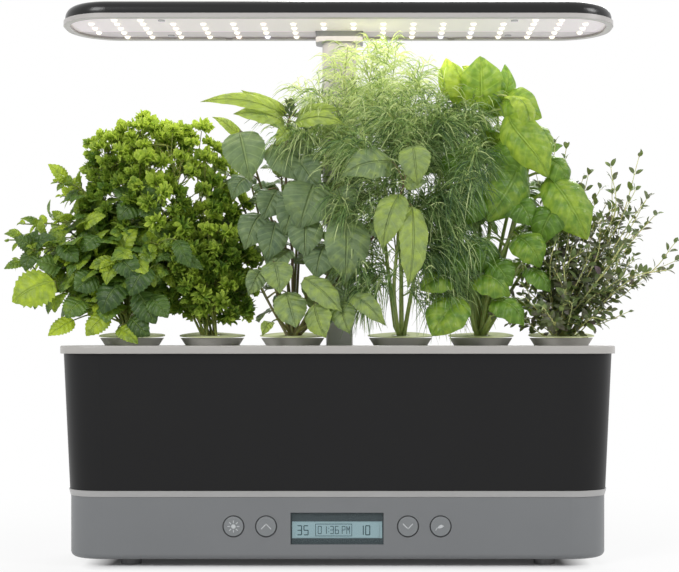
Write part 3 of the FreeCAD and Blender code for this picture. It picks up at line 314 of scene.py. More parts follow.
# %% [markdown]
# The small parts are of other stuff. Feet are soft grey rubber, which is dull. Screws are
# zinc-plated steel. The plate behind the lamp panel is plain rolled aluminium, which has fine
# lines along the rolling direction. The circuit board has a green lacquer over woven glass.

# %% Rubber, steel, aluminium and board
dress(moulded("foot_rubber", "#858585", "#7c7c7c", 0.75, grain=0.8, depth=0.04),
      "foot_front_left", "foot_front_right", "foot_rear_left", "foot_rear_right")
dress(moulded("board_lacquer", "#1f5a35", "#174a2b", 0.3, grain=0.5, depth=0.02), "control_board")


def metal(name, colour, roughness, stretch):
    """Bare metal with fine lines along one way. Stretch is the noise scale along x, y and z."""
    material, tree, out = start(name)
    place = add(tree, "ShaderNodeTexCoord")
    lines = add(tree, "ShaderNodeVectorMath", {0: place.outputs["Object"], 1: stretch},
                operation="MULTIPLY")
    brush = add(tree, "ShaderNodeTexNoise", {"Vector": lines.outputs[0], "Scale": 1.0, "Detail": 3.0})
    sheen = add(tree, "ShaderNodeMapRange", {"Value": brush.outputs["Fac"], "To Min": roughness - 0.08,
                                             "To Max": roughness + 0.08})
    bump = add(tree, "ShaderNodeBump", {"Height": brush.outputs["Fac"], "Strength": 0.2,
                                        "Distance": 0.01 * MM})
    shine = add(tree, "ShaderNodeBsdfPrincipled", {
        "Base Color": paint(colour), "Metallic": 1.0, "Roughness": sheen.outputs[0],
        "Normal": bump.outputs[0]})
    tree.links.new(shine.outputs[0], out.inputs["Surface"])
    return material


dress(metal("zinc_plated_steel", "#b8b9bb", 0.3, (900, 900, 900)), "base_screws", "hood_screws")
dress(metal("rolled_aluminium", "#c9cacc", 0.35, (60, 2500, 2500)), "hood_heat_sink")

# %% [markdown]
# The sponges are open-cell foam, dark from growing medium, and the discs on the pods are paper
# labels. Both are matt. Foam has pores of about a millimetre, and paper has fibres much finer
# than that, drawn here at half a millimetre.

# %% Sponge and paper


def matt_cells(name, colour, second, size, depth):
    """A dull surface with cells or fibres of a size in mm."""
    material, tree, out = start(name)
    place = add(tree, "ShaderNodeTexCoord")
    cells = add(tree, "ShaderNodeTexVoronoi", {"Vector": place.outputs["Object"],
                                               "Scale": 1 / (size * MM)})
    tone = add(tree, "ShaderNodeMix", {0: cells.outputs["Distance"], 6: paint(second), 7: paint(colour)},
               data_type="RGBA")
    bump = add(tree, "ShaderNodeBump", {"Height": cells.outputs["Distance"], "Strength": 0.5,
                                        "Distance": depth * MM})
    shine = add(tree, "ShaderNodeBsdfPrincipled", {
        "Base Color": tone.outputs[2], "Roughness": 0.85, "IOR": 1.45, "Normal": bump.outputs[0]})
    tree.links.new(shine.outputs[0], out.inputs["Surface"])
    return material


dress(matt_cells("growing_foam", "#4b3626", "#2b1d14", 1.2, 0.5),
      *[f"grow_sponge_{i}" for i in range(1, 7)])
label_paper = matt_cells("label_paper", "#e4e9b4", "#dbe2a8", 0.5, 0.02)

# %% [markdown]
# ## The lamp panel
#
# The panel is matt white ABS, which spreads light. The grey strip along its rear edge is painted
# shade, and a faint glow over the whole panel is painted light from the diodes. Small lenses
# stand on it, each over one diode. Most diodes are warm white, and some lean to red or blue,
# which plants need, so a random number for each cell of the lens grid picks the tint.

# %% The panel
SHADE_STRIP_FROM = 16.5 * MM

panel_abs, tree, out = start("matt_abs_white_panel")
place = add(tree, "ShaderNodeTexCoord")
axes = add(tree, "ShaderNodeSeparateXYZ", {0: place.outputs["Object"]})
# Behind this line the panel's colour turns grey: painted shade on its rear part.
behind = add(tree, "ShaderNodeMath", {0: axes.outputs["Y"], 1: SHADE_STRIP_FROM}, operation="GREATER_THAN")
tone = add(tree, "ShaderNodeMix", {0: behind.outputs[0], 6: paint("#f8f0fa"), 7: paint("#cfc9d2")},
           data_type="RGBA")
speck = add(tree, "ShaderNodeTexNoise", {"Vector": place.outputs["Object"], "Scale": 1 / (1.0 * MM)})
bump = add(tree, "ShaderNodeBump", {"Height": speck.outputs["Fac"], "Strength": 0.2,
                                    "Distance": 0.02 * MM})
# The faint emission is painted light: it stands in for the diodes' stray light on the panel.
shine = add(tree, "ShaderNodeBsdfPrincipled", {
    "Base Color": tone.outputs[2], "Roughness": 0.6, "IOR": 1.54, "Normal": bump.outputs[0],
    "Emission Color": paint("#fff2ec"), "Emission Strength": 0.13})
tree.links.new(shine.outputs[0], out.inputs["Surface"])
dress(panel_abs, "led_panel")

# %% The lenses
LENS_PITCH = 22 * MM
ROW_PITCH = 15.6 * MM

lens_glow, tree, out = start("lit_diode_lens")
place = add(tree, "ShaderNodeTexCoord")
cell = add(tree, "ShaderNodeVectorMath", {0: place.outputs["Object"], 1: (LENS_PITCH, ROW_PITCH, 1.0)},
           operation="SNAP")
pick = add(tree, "ShaderNodeTexWhiteNoise", {"Vector": cell.outputs[0]})
tint = add(tree, "ShaderNodeValToRGB", {0: pick.outputs["Value"]})
bands = tint.color_ramp
bands.interpolation = "CONSTANT"
bands.elements[0].color = paint("#fff6e0")
bands.elements[1].position = 0.72
bands.elements[1].color = paint("#ffe3d4")
blue = bands.elements.new(0.88)
blue.color = paint("#dfe2ff")
shine = add(tree, "ShaderNodeBsdfPrincipled", {
    "Base Color": paint("#f4efe2"), "Roughness": 0.15, "IOR": 1.49,
    "Emission Color": tint.outputs[0], "Emission Strength": 1.15})
tree.links.new(shine.outputs[0], out.inputs["Surface"])
dress(lens_glow, "led_lenses")

# %% [markdown]
# ## Mesh helpers
#
# Every added piece is a mesh made from lists of points and faces. One helper turns the lists
# into an object, and one makes a flat badge with rounded edges from a closed outline, for the
# marks on the buttons and the digits of the display.

# %% From lists to an object


def piece(name, points, faces, materials, uv=None, tint=None, marks=None, smooth=True):
    """An object from points in metres and faces. uv and tint are given per point, marks per face."""
    mesh = bpy.data.meshes.new(name)
    mesh.from_pydata([tuple(map(float, p)) for p in points], [], [tuple(map(int, f)) for f in faces])
    for material in materials:
        mesh.materials.append(material)
    corner_points = np.empty(len(mesh.loops), dtype=np.int32)
    mesh.loops.foreach_get("vertex_index", corner_points)
    if uv is not None:
        layer = mesh.uv_layers.new(name="leaf_map")
        layer.data.foreach_set("uv", np.asarray(uv, dtype=np.float32)[corner_points].ravel())
    if tint is not None:
        layer = mesh.attributes.new("tint", "FLOAT", "POINT")
        layer.data.foreach_set("value", np.asarray(tint, dtype=np.float32))
    if marks is not None:
        mesh.polygons.foreach_set("material_index", np.asarray(marks, dtype=np.int32))
    mesh.polygons.foreach_set("use_smooth", [smooth] * len(mesh.polygons))
    mesh.update()
    made = bpy.data.objects.new(name, mesh)
    bpy.context.scene.collection.objects.link(made)
    return made


# %% A flat badge
ROUNDED = ((1.0, 1.0), (0.3, 1.0), (0.0, 0.94))  # depth as a share of the thickness, and size


def badge(outlines, front, thick):
    """Points and faces of flat badges that face the viewer. Each outline is a list of (x, z) in mm."""
    points, faces = [], []
    for outline in outlines:
        first, count = len(points), len(outline)
        cx, cz = np.mean(np.array(outline), axis=0)
        for share, size in ROUNDED:
            points += [(cx + (x - cx) * size, front + thick * share, cz + (z - cz) * size)
                       for x, z in outline]
        for ring in range(len(ROUNDED) - 1):
            for i in range(count):
                a = first + ring * count + i
                b = first + ring * count + (i + 1) % count
                faces.append((a, b, b + count, a + count))
        faces.append([first + 2 * count + i for i in range(count)][::-1])
    return np.array(points) * MM, faces


# %% [markdown]
# ## The pod labels
#
# Each label is a paper disc that lies on the pod's collar. Paper that has been damp bows a
# little, so its front edge rests on the collar and its rear edge stands up by a few millimetres,
# which lets its pale top show from in front. Each one bows in its own way.

# %% The pod labels
LABEL_THICK = 0.6 * MM
LABEL_HOLE = 7 * MM  # radius of the hole that the stems grow through
LABEL_BOW = 3.6 * MM
LABEL_RINGS = 6
LABEL_TURNS = 40
paper_chance = np.random.default_rng(5)
for number in range(1, 7):
    low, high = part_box(f"pod_label_{number}")
    middle = (np.array(low) + np.array(high)) / 2
    radii = np.linspace(LABEL_HOLE, (high[0] - low[0]) / 2, LABEL_RINGS)[:, None]
    turn = np.linspace(0, 2 * np.pi, LABEL_TURNS, endpoint=False)[None, :]
    aside, behind = radii * np.cos(turn), radii * np.sin(turn)
    rear = np.clip((behind / radii.max() + 1) / 2, 0, 1)
    tilt = paper_chance.normal(0, 0.3)
    bow = LABEL_BOW * rear ** 1.4 + tilt * MM * rear * aside / radii.max()
    bow += 0.25 * MM * np.sin(3 * turn + number) * (radii / radii.max()) ** 2 * rear
    upper = np.stack([middle[0] + aside, middle[1] + behind, high[2] + bow], axis=-1).reshape(-1, 3)
    lower = upper - [0, 0, LABEL_THICK]
    i, k = np.meshgrid(np.arange(len(radii) - 1), np.arange(LABEL_TURNS), indexing="ij")
    a, b = i * LABEL_TURNS + k, i * LABEL_TURNS + (k + 1) % LABEL_TURNS
    top = np.stack([a, a + LABEL_TURNS, b + LABEL_TURNS, b], axis=-1).reshape(-1, 4)
    count, last = len(upper), (len(radii) - 1) * LABEL_TURNS
    inner, outer = np.arange(LABEL_TURNS), last + np.arange(LABEL_TURNS)
    rims = [np.stack([r, np.roll(r, -1), np.roll(r, -1) + count, r + count], axis=-1)[:, ::way]
            for r, way in ((inner, 1), (outer, -1))]
    label = piece(f"label_disc_{number}", np.vstack([upper, lower]),
                  np.vstack([top, top[:, ::-1] + count] + rims), [label_paper], smooth=False)
    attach(label, "garden")
    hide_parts(f"pod_label_{number}")
print("label bow:", round(float(bow.max()) / MM, 1), "mm")

# %% [markdown]
# ## The buttons' marks
#
# Each button has a ring of painted shadow round it, a dark sheet where the gap to its hole lies
# in shade, and a pale printed mark: a sun for the light, two arrows for the settings, and a leaf
# for plant food. The ink is pad printed, so it has almost no thickness and a slight gloss.

# %% Strokes
STROKE_END = 7  # points in each round end of a stroke


def around(x, z, radius, turn):
    """The point at a distance and an angle from x, z."""
    return x + radius * math.cos(turn), z + radius * math.sin(turn)


def bar(x0, z0, x1, z1, thick):
    """The outline of a straight stroke with round ends."""
    along = math.atan2(z1 - z0, x1 - x0)
    ends = []
    for x, z, turn in ((x1, z1, along), (x0, z0, along + math.pi)):
        ends += [around(x, z, thick / 2, turn - math.pi / 2 + math.pi * k / (STROKE_END - 1))
                 for k in range(STROKE_END)]
    return ends


def disc(x, z, radius, count=28):
    """The outline of a round dot."""
    return [around(x, z, radius, 2 * math.pi * k / count) for k in range(count)]


def loop(x, z, radius, thick, count=40):
    """A ring as short strokes that share their ends."""
    rim = [around(x, z, radius, 2 * math.pi * k / count) for k in range(count + 1)]
    return [bar(*rim[k], *rim[k + 1], thick) for k in range(count)]


# %% The four marks


def sun(x, z):
    """A dot with eight rays."""
    turns = [math.pi * k / 4 for k in range(8)]
    return [disc(x, z, 1.7)] + [bar(*around(x, z, 2.6, a), *around(x, z, 4.0, a), 0.7) for a in turns]


def arrow(x, z, way):
    """Two strokes that meet in a tip. Way is 1 for up and -1 for down."""
    return [bar(x - 3.3, z - way * 1.7, x, z + way * 1.7, 0.8),
            bar(x, z + way * 1.7, x + 3.3, z - way * 1.7, 0.8)]


def leaf_mark(x, z):
    """A leaf on a short stalk. Both its edges bulge away from the line between its ends."""
    def edge(t, bulge):
        return x - 2.6 + 5.2 * t, z - 1.0 + 1.2 * t + bulge * math.sin(math.pi * t)

    upper = [edge(t, 1.6) for t in np.linspace(0, 1, 10)]
    lower = [edge(t, -1.0) for t in np.linspace(1, 0, 10)[1:-1]]
    return [upper + lower, bar(x - 3.4, z - 2.6, x - 2.4, z - 1.0, 0.6)]


# %% Marks and rings
RING_RADIUS = 7.55
RING_LEVEL = -54.36  # just proud of the housing's front face
mark_ink = moulded("pad_print_ink_pale", "#c9ccce", "#c4c7c9", 0.4)
# The rings are painted shadow: a dark sheet where the gap round each button lies in shade.
painted_shadow_ring_ink = moulded("shadow_gap_dark", "#3b3d3f", "#363839", 0.6)


def button_face(button):
    """The middle of a button's face and the level of the face, in mm."""
    low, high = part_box(button)
    return (low[0] + high[0]) / 2 / MM, (low[2] + high[2]) / 2 / MM, low[1] / MM


def make_mark(button, outlines, face):
    """Puts the outlines of a mark on a button's face, and lets them move with it."""
    made = piece(f"{button}_mark", *badge(outlines, face - 0.06, 0.1), [mark_ink], smooth=False)
    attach(made, button)


for button in BUTTONS:
    x, z, face = button_face(button)
    marks = {"light_button": sun(x, z), "up_button": arrow(x, z, 1),
             "down_button": arrow(x, z, -1), "feed_button": leaf_mark(x, z)}
    make_mark(button, marks[button], face)

for button in BUTTONS:
    x, z, face = button_face(button)
    ring = piece(f"{button}_ring", *badge(loop(x, z, RING_RADIUS, 0.5), RING_LEVEL, 0.08), [painted_shadow_ring_ink],
                 smooth=False)
    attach(ring, "garden")

# %% [markdown]
# ## The display
#
# A plain liquid crystal display: a pale blue-green glass with dark segments behind a clear
# window. The segments are short strokes, as on every such display. It shows a day count, a
# clock in a frame, and a count of days to the next feed.

# %% Digits and letters
SEGMENTS = {"0": "abcdef", "1": "bc", "3": "abgcd", "5": "afgcd", "6": "afgedc"}
LETTERS = {  # strokes from point to point, as shares of the letter's width and height
    "P": [(0, 0, 0, 1), (0, 1, 1, 1), (1, 1, 1, 0.5), (0, 0.5, 1, 0.5)],
    "M": [(0, 0, 0, 1), (1, 0, 1, 1), (0, 1, 0.5, 0.45), (0.5, 0.45, 1, 1)],
}
COLON_STEP = 1.35


def digit(mark, x, z, wide, tall, thick):
    """The strokes of a digit whose lower left corner is at x, z."""
    h = tall / 2
    strokes = {"a": (0, tall, wide, tall), "g": (0, h, wide, h), "d": (0, 0, wide, 0), "f": (0, h, 0, tall),
               "b": (wide, h, wide, tall), "e": (0, 0, 0, h), "c": (wide, 0, wide, h)}
    gap = thick * 0.35
    made = []
    for name in SEGMENTS[mark]:
        x0, z0, x1, z1 = strokes[name]
        dx = gap if x1 > x0 else 0
        dz = gap if z1 > z0 else 0
        made.append(bar(x + x0 + dx, z + z0 + dz, x + x1 - dx, z + z1 - dz, thick))
    return made


def show_text(marks, x, z, wide, tall, step, thick):
    """Digits, letters and colons in a row. A colon is two dots."""
    made = []
    for mark in marks:
        if mark == ":":
            made += [disc(x + 0.35, z + tall * share, 0.32, 10) for share in (0.28, 0.72)]
        elif mark in LETTERS:
            made += [bar(x + wide * a, z + tall * b, x + wide * c, z + tall * d, thick)
                     for a, b, c, d in LETTERS[mark]]
        else:
            made += digit(mark, x, z, wide, tall, thick)
        x += COLON_STEP if mark == ":" else step
    return made


# %% The display's glass and ink
GLASS_BACK = -52.25
GLASS_SIDE, GLASS_LOW, GLASS_HIGH = 31.8, 20.0, 31.8
CLOCK_FRAME = [(-15.2, 21.6, 10.4, 21.6), (-15.2, 30.0, 10.4, 30.0),
               (-15.2, 21.6, -15.2, 30.0), (10.4, 21.6, 10.4, 30.0)]
READOUT = [
    # marks, x and z of the lower left corner, width, height, step and stroke, in mm
    ("35", -28.0, 22.4, 2.9, 6.4, 4.6, 0.7),
    ("01:36", -13.4, 23.2, 2.2, 5.2, 3.6, 0.5),
    ("PM", 3.6, 23.2, 2.0, 5.2, 3.2, 0.45),
    ("10", 15.6, 22.4, 2.9, 6.4, 4.6, 0.7),
]
lcd_glass = moulded("liquid_crystal_glass", "#c3d4d7", "#bdced1", 0.3, grain=0.8, depth=0.003)
backlight = lcd_glass.node_tree.nodes["Principled BSDF"].inputs
backlight["Emission Color"].default_value = paint("#b2c3c8")
backlight["Emission Strength"].default_value = 0.22
lcd_ink = moulded("liquid_crystal_segment", "#2c5057", "#294c53", 0.4)

sheet = [(-GLASS_SIDE, GLASS_LOW), (GLASS_SIDE, GLASS_LOW),
         (GLASS_SIDE, GLASS_HIGH), (-GLASS_SIDE, GLASS_HIGH)]
strokes = [bar(*ends, 0.4) for ends in CLOCK_FRAME]
strokes += [stroke for row in READOUT for stroke in show_text(*row)]
glass = piece("display_glass", *badge([sheet], GLASS_BACK + 0.06, 0.1), [lcd_glass], smooth=False)
digits = piece("display_digits", *badge(strokes, GLASS_BACK, 0.05), [lcd_ink], smooth=False)
for part in (glass, digits):
    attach(part, "garden")

# %% [markdown]
# The window is acrylic, polished on both faces. Light goes straight through it apart from the
# part that its surface reflects, which grows towards the sides. A refracting shader would keep
# the lamps' light from the display behind it, so this is a mix of clear and gloss instead.

# %% The clear window
acrylic, tree, out = start("clear_acrylic_window")
turn = add(tree, "ShaderNodeLayerWeight", {"Blend": 0.5})
steep = add(tree, "ShaderNodeMath", {0: turn.outputs["Facing"], 1: 4.0}, operation="POWER")
share = add(tree, "ShaderNodeMapRange", {"Value": steep.outputs[0], "To Min": 0.05, "To Max": 0.9})
clear = add(tree, "ShaderNodeBsdfTransparent", {"Color": paint("#eef3f4")})
gloss = add(tree, "ShaderNodeBsdfPrincipled", {"Base Color": paint("#8d9698"), "Roughness": 0.05,
                                               "IOR": 1.49})
mixed = add(tree, "ShaderNodeMixShader", {0: share.outputs[0], 1: clear.outputs[0], 2: gloss.outputs[0]})
tree.links.new(mixed.outputs[0], out.inputs["Surface"])
dress(acrylic, "display_window")

# %% [markdown]
# ## Growing herbs
#
# A herb is stems and leaves. A stem is a tube along a smooth path. A leaf is a thin sheet, so it
# is a grid of points: rows from root to tip, columns from edge to edge. The row's width follows
# the leaf's outline, and small moves off the flat grid give it its fold along the midrib, its
# arch, its teeth and its swelling between the veins. Each leaf carries its own tint, from deep
# green to yellow-green at the tips, and its place from root to tip and edge to edge, by which the
# shader draws its veins. The tint is partly the leaf's own colour and partly painted light and
# shade: leaves deep in a plant or behind it get a darker tint, as painted shade, and leaves on
# top a paler one, as painted light.

# %% Leaves over the front edge
FRONT_EDGE = -60 * MM
OVERHANG = 12 * MM


def lean_back(points):
    """Leaves over the deck's front edge bunch up, so that none stands out by more than OVERHANG."""
    over = np.maximum(FRONT_EDGE - points[:, 1], 0)
    points[:, 1] += over - OVERHANG * np.tanh(over / OVERHANG)
    return points


# %% The collector
LEAF, STEM = 0, 1  # the places of a herb's two materials


class Herb:
    """Gathers one herb's stems and leaves as one mesh, and keeps its stems' points for leaves to join."""

    def __init__(self, seed):
        self.chance = np.random.default_rng(seed)
        self.points, self.faces, self.uv, self.tint, self.marks = [], [], [], [], []
        self.wood = []
        self.count = 0

    def take(self, points, faces, uv, tint, mark):
        """Adds a leaf or a stem to the mesh."""
        self.points.append(points)
        self.faces.append(faces + self.count)
        self.uv.append(uv)
        self.tint.append(np.full(len(points), tint))
        self.marks.append(np.full(len(faces), mark))
        self.count += len(points)

    def near(self, place):
        """The stem point that lies nearest to a place and, if it can, not above it."""
        wood = np.vstack(self.wood)
        gap = np.linalg.norm(wood - place, axis=1) + np.maximum(wood[:, 2] - place[2], 0) * 3
        return wood[np.argmin(gap)]

    def finish(self, name, node, leaf, stem):
        """Makes the herb's object, which stands for its plain solid."""
        points = lean_back(np.vstack(self.points))
        made = piece(name, points, np.vstack(self.faces), [leaf, stem], uv=np.vstack(self.uv),
                     tint=np.concatenate(self.tint), marks=np.concatenate(self.marks))
        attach(made, "garden")
        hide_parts(node)
        low, high = points.min(axis=0), points.max(axis=0)
        print(name, "faces", len(made.data.polygons), "from", (low / MM).round(), "to", (high / MM).round())
        return made


# %% Grids and paths


def unit(v):
    """The same direction at length 1."""
    return v / (np.linalg.norm(v) + 1e-12)


def quads(rows, columns, closed=False):
    """The faces of a grid of points, row after row. A closed grid joins its last column to its first."""
    last = columns if closed else columns - 1
    i, k = np.meshgrid(np.arange(rows - 1), np.arange(last), indexing="ij")
    a, b = i * columns + k, i * columns + (k + 1) % columns
    return np.stack([a, b, b + columns, a + columns], axis=-1).reshape(-1, 4)


def smooth_path(knots, steps=6):
    """A smooth path through a few knots."""
    knots = np.asarray(knots, float)
    ends = np.vstack([2 * knots[0] - knots[1], knots, 2 * knots[-1] - knots[-2]])
    path = []
    for i in range(len(knots) - 1):
        a, b, c, d = ends[i:i + 4]
        for t in np.linspace(0, 1, steps, endpoint=False):
            path.append(0.5 * (2 * b + (c - a) * t + (2 * a - 5 * b + 4 * c - d) * t * t
                               + (3 * b - a - 3 * c + d) * t ** 3))
    path.append(knots[-1])
    return np.array(path)


def along_path(path, t):
    """The point at a share of the way along a path, and the direction there."""
    at = t * (len(path) - 1)
    i = min(int(at), len(path) - 2)
    step = path[i + 1] - path[i]
    return path[i] + step * (at - i), unit(step)


# %% A stem


def stem(herb, path, thick, thin, tint=0.5, sides=6, keep=True):
    """A tapering tube along a path. Thick and thin are radii in metres."""
    along = np.gradient(path, axis=0)
    along /= np.linalg.norm(along, axis=1)[:, None] + 1e-12
    side = np.cross(along, (0.31, 0.95, 0.05))
    side /= np.linalg.norm(side, axis=1)[:, None] + 1e-12
    up = np.cross(side, along)
    turn = np.linspace(0, 2 * np.pi, sides, endpoint=False)
    ring = side[:, None] * np.cos(turn)[None, :, None] + up[:, None] * np.sin(turn)[None, :, None]
    radii = np.linspace(thick, thin, len(path))
    points = (path[:, None] + ring * radii[:, None, None]).reshape(-1, 3)
    uv = np.stack([np.repeat(np.linspace(0, 1, len(path)), sides),
                   np.tile(turn / (2 * np.pi), len(path))], axis=1)
    herb.take(points, quads(len(path), sides, closed=True), uv, tint, STEM)
    if keep:
        herb.wood.append(path)
    return path


# %% One leaf


def blade(herb, root, tip, wide, facing, shape, tint=0.4, arch=0.08, fold=0.25, curl=-0.15,
          teeth=0, tooth=0.0, quilt=0.0, wave=0.0, rows=9, columns=4, point=0.0):
    """A leaf from root to tip. Wide is its full width, shape its roundness at both ends, and point
    says how far its tip is drawn out."""
    fold = fold * herb.chance.uniform(0.5, 1.5)
    arch = arch * herb.chance.uniform(0.4, 1.7)
    twist = herb.chance.normal(0, 0.3)
    reach = np.linalg.norm(tip - root)
    along = (tip - root) / reach
    up = unit(facing - along * np.dot(facing, along))
    side = np.cross(along, up)
    rows = max(rows, 2 * teeth)
    u = np.linspace(0, 1, rows + 1)[:, None]
    v = np.linspace(-1, 1, columns + 1)[None, :]
    early, late = shape
    peak = (early / (early + late)) ** early * (late / (early + late)) ** late
    half = wide / 2 * u ** early * (1 - u) ** late / peak + 0.02 * wide * u * (1 - u) + 0.0001
    taper = np.clip((u - 0.7) / 0.3, 0, 1)
    half = half * (1 - point * taper * taper * (3 - 2 * taper))
    if teeth:
        jag = (np.arange(rows + 1) % 2)[:, None] * np.abs(v) ** 5
        half = half * (1 + tooth * (jag - 0.5 * np.abs(v) ** 5))
    turn = twist * (u - 0.5)
    lift = np.abs(v) * math.tan(fold) + curl * v * v
    lift = lift + wave * v * v * np.sin(6 * math.pi * u + 3 * tint + np.sign(v))
    height = half * lift + reach * arch * 4 * u * (1 - u)
    if quilt:
        swelling = np.abs(np.sin(math.pi * (5.5 * u - 1.1 * np.abs(v))))
        to_edges = (1 - v ** 4) * np.sin(math.pi * np.clip(u, 0, 1)) * np.minimum(1, np.abs(v) * 3)
        height = height + quilt * reach * swelling * to_edges
    across = half * v
    flat_x = across * np.cos(turn) - height * np.sin(turn)
    flat_z = across * np.sin(turn) + height * np.cos(turn)
    points = (root + (u * np.ones_like(v))[..., None] * (tip - root) + flat_x[..., None] * side
              + flat_z[..., None] * up)
    uv = np.stack([u * np.ones_like(v), (v + 1) / 2 * np.ones_like(u)], axis=-1).reshape(-1, 2)
    herb.take(points.reshape(-1, 3), quads(rows + 1, columns + 1), uv, tint, LEAF)


# %% A leaf on its stalk


def joined_leaf(herb, root, tip, wide, facing, stalk=0.6 * MM, **looks):
    """A leaf on a stalk that grows from the nearest stem. Stalk is the stalk's radius."""
    foot = herb.near(root)
    middle = (foot + root) / 2 + np.array([0, 0, 0.15 * np.linalg.norm(root - foot)])
    stem(herb, smooth_path([foot, middle, root, root + 0.25 * (tip - root)], 4), stalk * 1.3, stalk * 0.5,
         tint=looks.get("tint", 0.4), sides=5, keep=False)
    blade(herb, root, tip, wide, facing, **looks)


# %% A leafy shoot
UP = np.array([0.0, 0.0, 1.0])
VIEWER = np.array([0.0, -1.0, 0.0])


LEAN_OUT = 0.9  # how strongly a shoot's leaves lean away from the stem


def shoot(herb, knots, thick, leaves, long, ratio, first=0.3, droop=0.25, tint=(0.1, 0.7), lift=0.35,
          size=None, stem_tint=0.5, **looks):
    """A stem with leaves in pairs, each pair turned against the one below. Long is the longest leaf,
    and ratio is its width as a share of its length."""
    chance = herb.chance
    path = smooth_path(knots, 7)
    stem(herb, path, thick, thick * 0.45, tint=stem_tint)
    angle = chance.uniform(0, math.pi)
    for t in np.linspace(first, 1.0, leaves):
        node, tangent = along_path(path, t)
        a = unit(np.cross(tangent, (0.2, 0.9, 0.35)))
        b = np.cross(tangent, a)
        grown = size(t) if size else 1.0 - 0.75 * max(0, (t - 0.55) / 0.45) ** 1.3
        grown *= chance.uniform(0.8, 1.12)
        for half in range(2):
            phi = angle + math.pi * half + chance.normal(0, 0.2)
            rise = lift + 0.9 * max(0, t - 0.7) / 0.3 * 0.8
            out = unit((a * math.cos(phi) + b * math.sin(phi)) * LEAN_OUT + tangent * rise)
            reach = long * grown
            root = node + out * reach * 0.16
            end = root + unit(out + np.array([0, 0, -droop]) * (1 - 0.6 * t)) * reach
            facing = unit(tangent * 0.5 + UP * 0.55 + VIEWER * 0.5 + chance.normal(0, 0.18, 3))
            # Leaves get paler towards the shoot's tip. This is partly the young leaves' own colour and partly
            # painted light and shade.
            shade = tint[0] + (tint[1] - tint[0]) * t + chance.normal(0, 0.1)
            stem(herb, np.array([node, root, root + (end - root) * 0.2]), thick * 0.4, thick * 0.25,
                 tint=stem_tint, sides=4, keep=False)
            blade(herb, root, end, reach * ratio * chance.uniform(0.88, 1.12), facing,
                  tint=float(np.clip(shade, 0, 1)), **looks)
        angle += math.pi / 2
    return path


# %% [markdown]
# Each herb's stems leave the middle of its pod. On the herbs with large leaves, the outer leaves
# are placed one by one where the picture shows them, and more shoots fill the space behind.

# %% From a pod to stems and leaves
ROW_Y = -10 * MM
FOOT_Z = 157 * MM
LEAF_POINT = 0.73 * MM  # one picture point at the leaves
POD = {}
for number, herb_name in enumerate(("mint", "parsley", "thai", "dill", "basil", "thyme"), start=1):
    low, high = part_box(f"pod_label_{number}")
    POD[herb_name] = (low[0] + high[0]) / 2


def foot(herb, pod, scatter):
    """A place near the middle of a pod where a stem leaves it. Scatter is in mm."""
    aside, behind = herb.chance.uniform(-scatter, scatter, 2)
    return np.array([POD[pod] + aside * MM, ROW_Y + behind * MM, FOOT_Z])


def main_stems(herb, pod, scatter, ways, thick, thin, tint, steps=7, purple=()):
    """Stems through places in the picture: across, down and mm behind the middle."""
    for number, knots in enumerate(ways):
        path = smooth_path([spot(*k) for k in knots], steps)
        path[0] = foot(herb, pod, scatter)
        stem(herb, path, thick, thin, tint=0.25 if number in purple else tint)


def picture_leaves(herb, leaves, rear, front, upward, scatter, **looks):
    """The leaves that catch the eye: root and tip in the picture, width in picture points, mm behind
    the middle, and tint. Rear and front say how far root and tip lie behind and before that."""
    for x0, z0, x1, z1, wide, behind, tint in leaves:
        facing = unit(VIEWER + upward * UP + herb.chance.normal(0, scatter, 3))
        joined_leaf(herb, spot(x0, z0, behind + rear), spot(x1, z1, behind - front), wide * LEAF_POINT,
                    facing, tint=tint, **looks)


def shoots_behind(herb, pod, shoots, thick, ratio, **looks):
    """Leafy shoots behind the placed leaves: places after the pod, pairs of leaves, longest leaf in mm."""
    for places, leaves, long in shoots:
        knots = [foot(herb, pod, 2)] + [spot(*k) for k in places]
        shoot(herb, knots, thick, leaves, long * MM, ratio, **looks)


print("pods at", {name: round(x / MM, 1) for name, x in POD.items()})

# %% [markdown]
# ## The skin of leaves and stems
#
# A leaf is a thin wet film under a waxy skin. Light from the front gives a soft gloss on the
# skin, and light from behind comes through as a brighter, yellower green, so the shader mixes a
# glossy surface with a translucent one. The midrib and side veins are paler and lie a little
# lower than the blade between them. The side veins leave the midrib at a steady spacing, which
# the leaf's own map gives.

# %% Leaf material


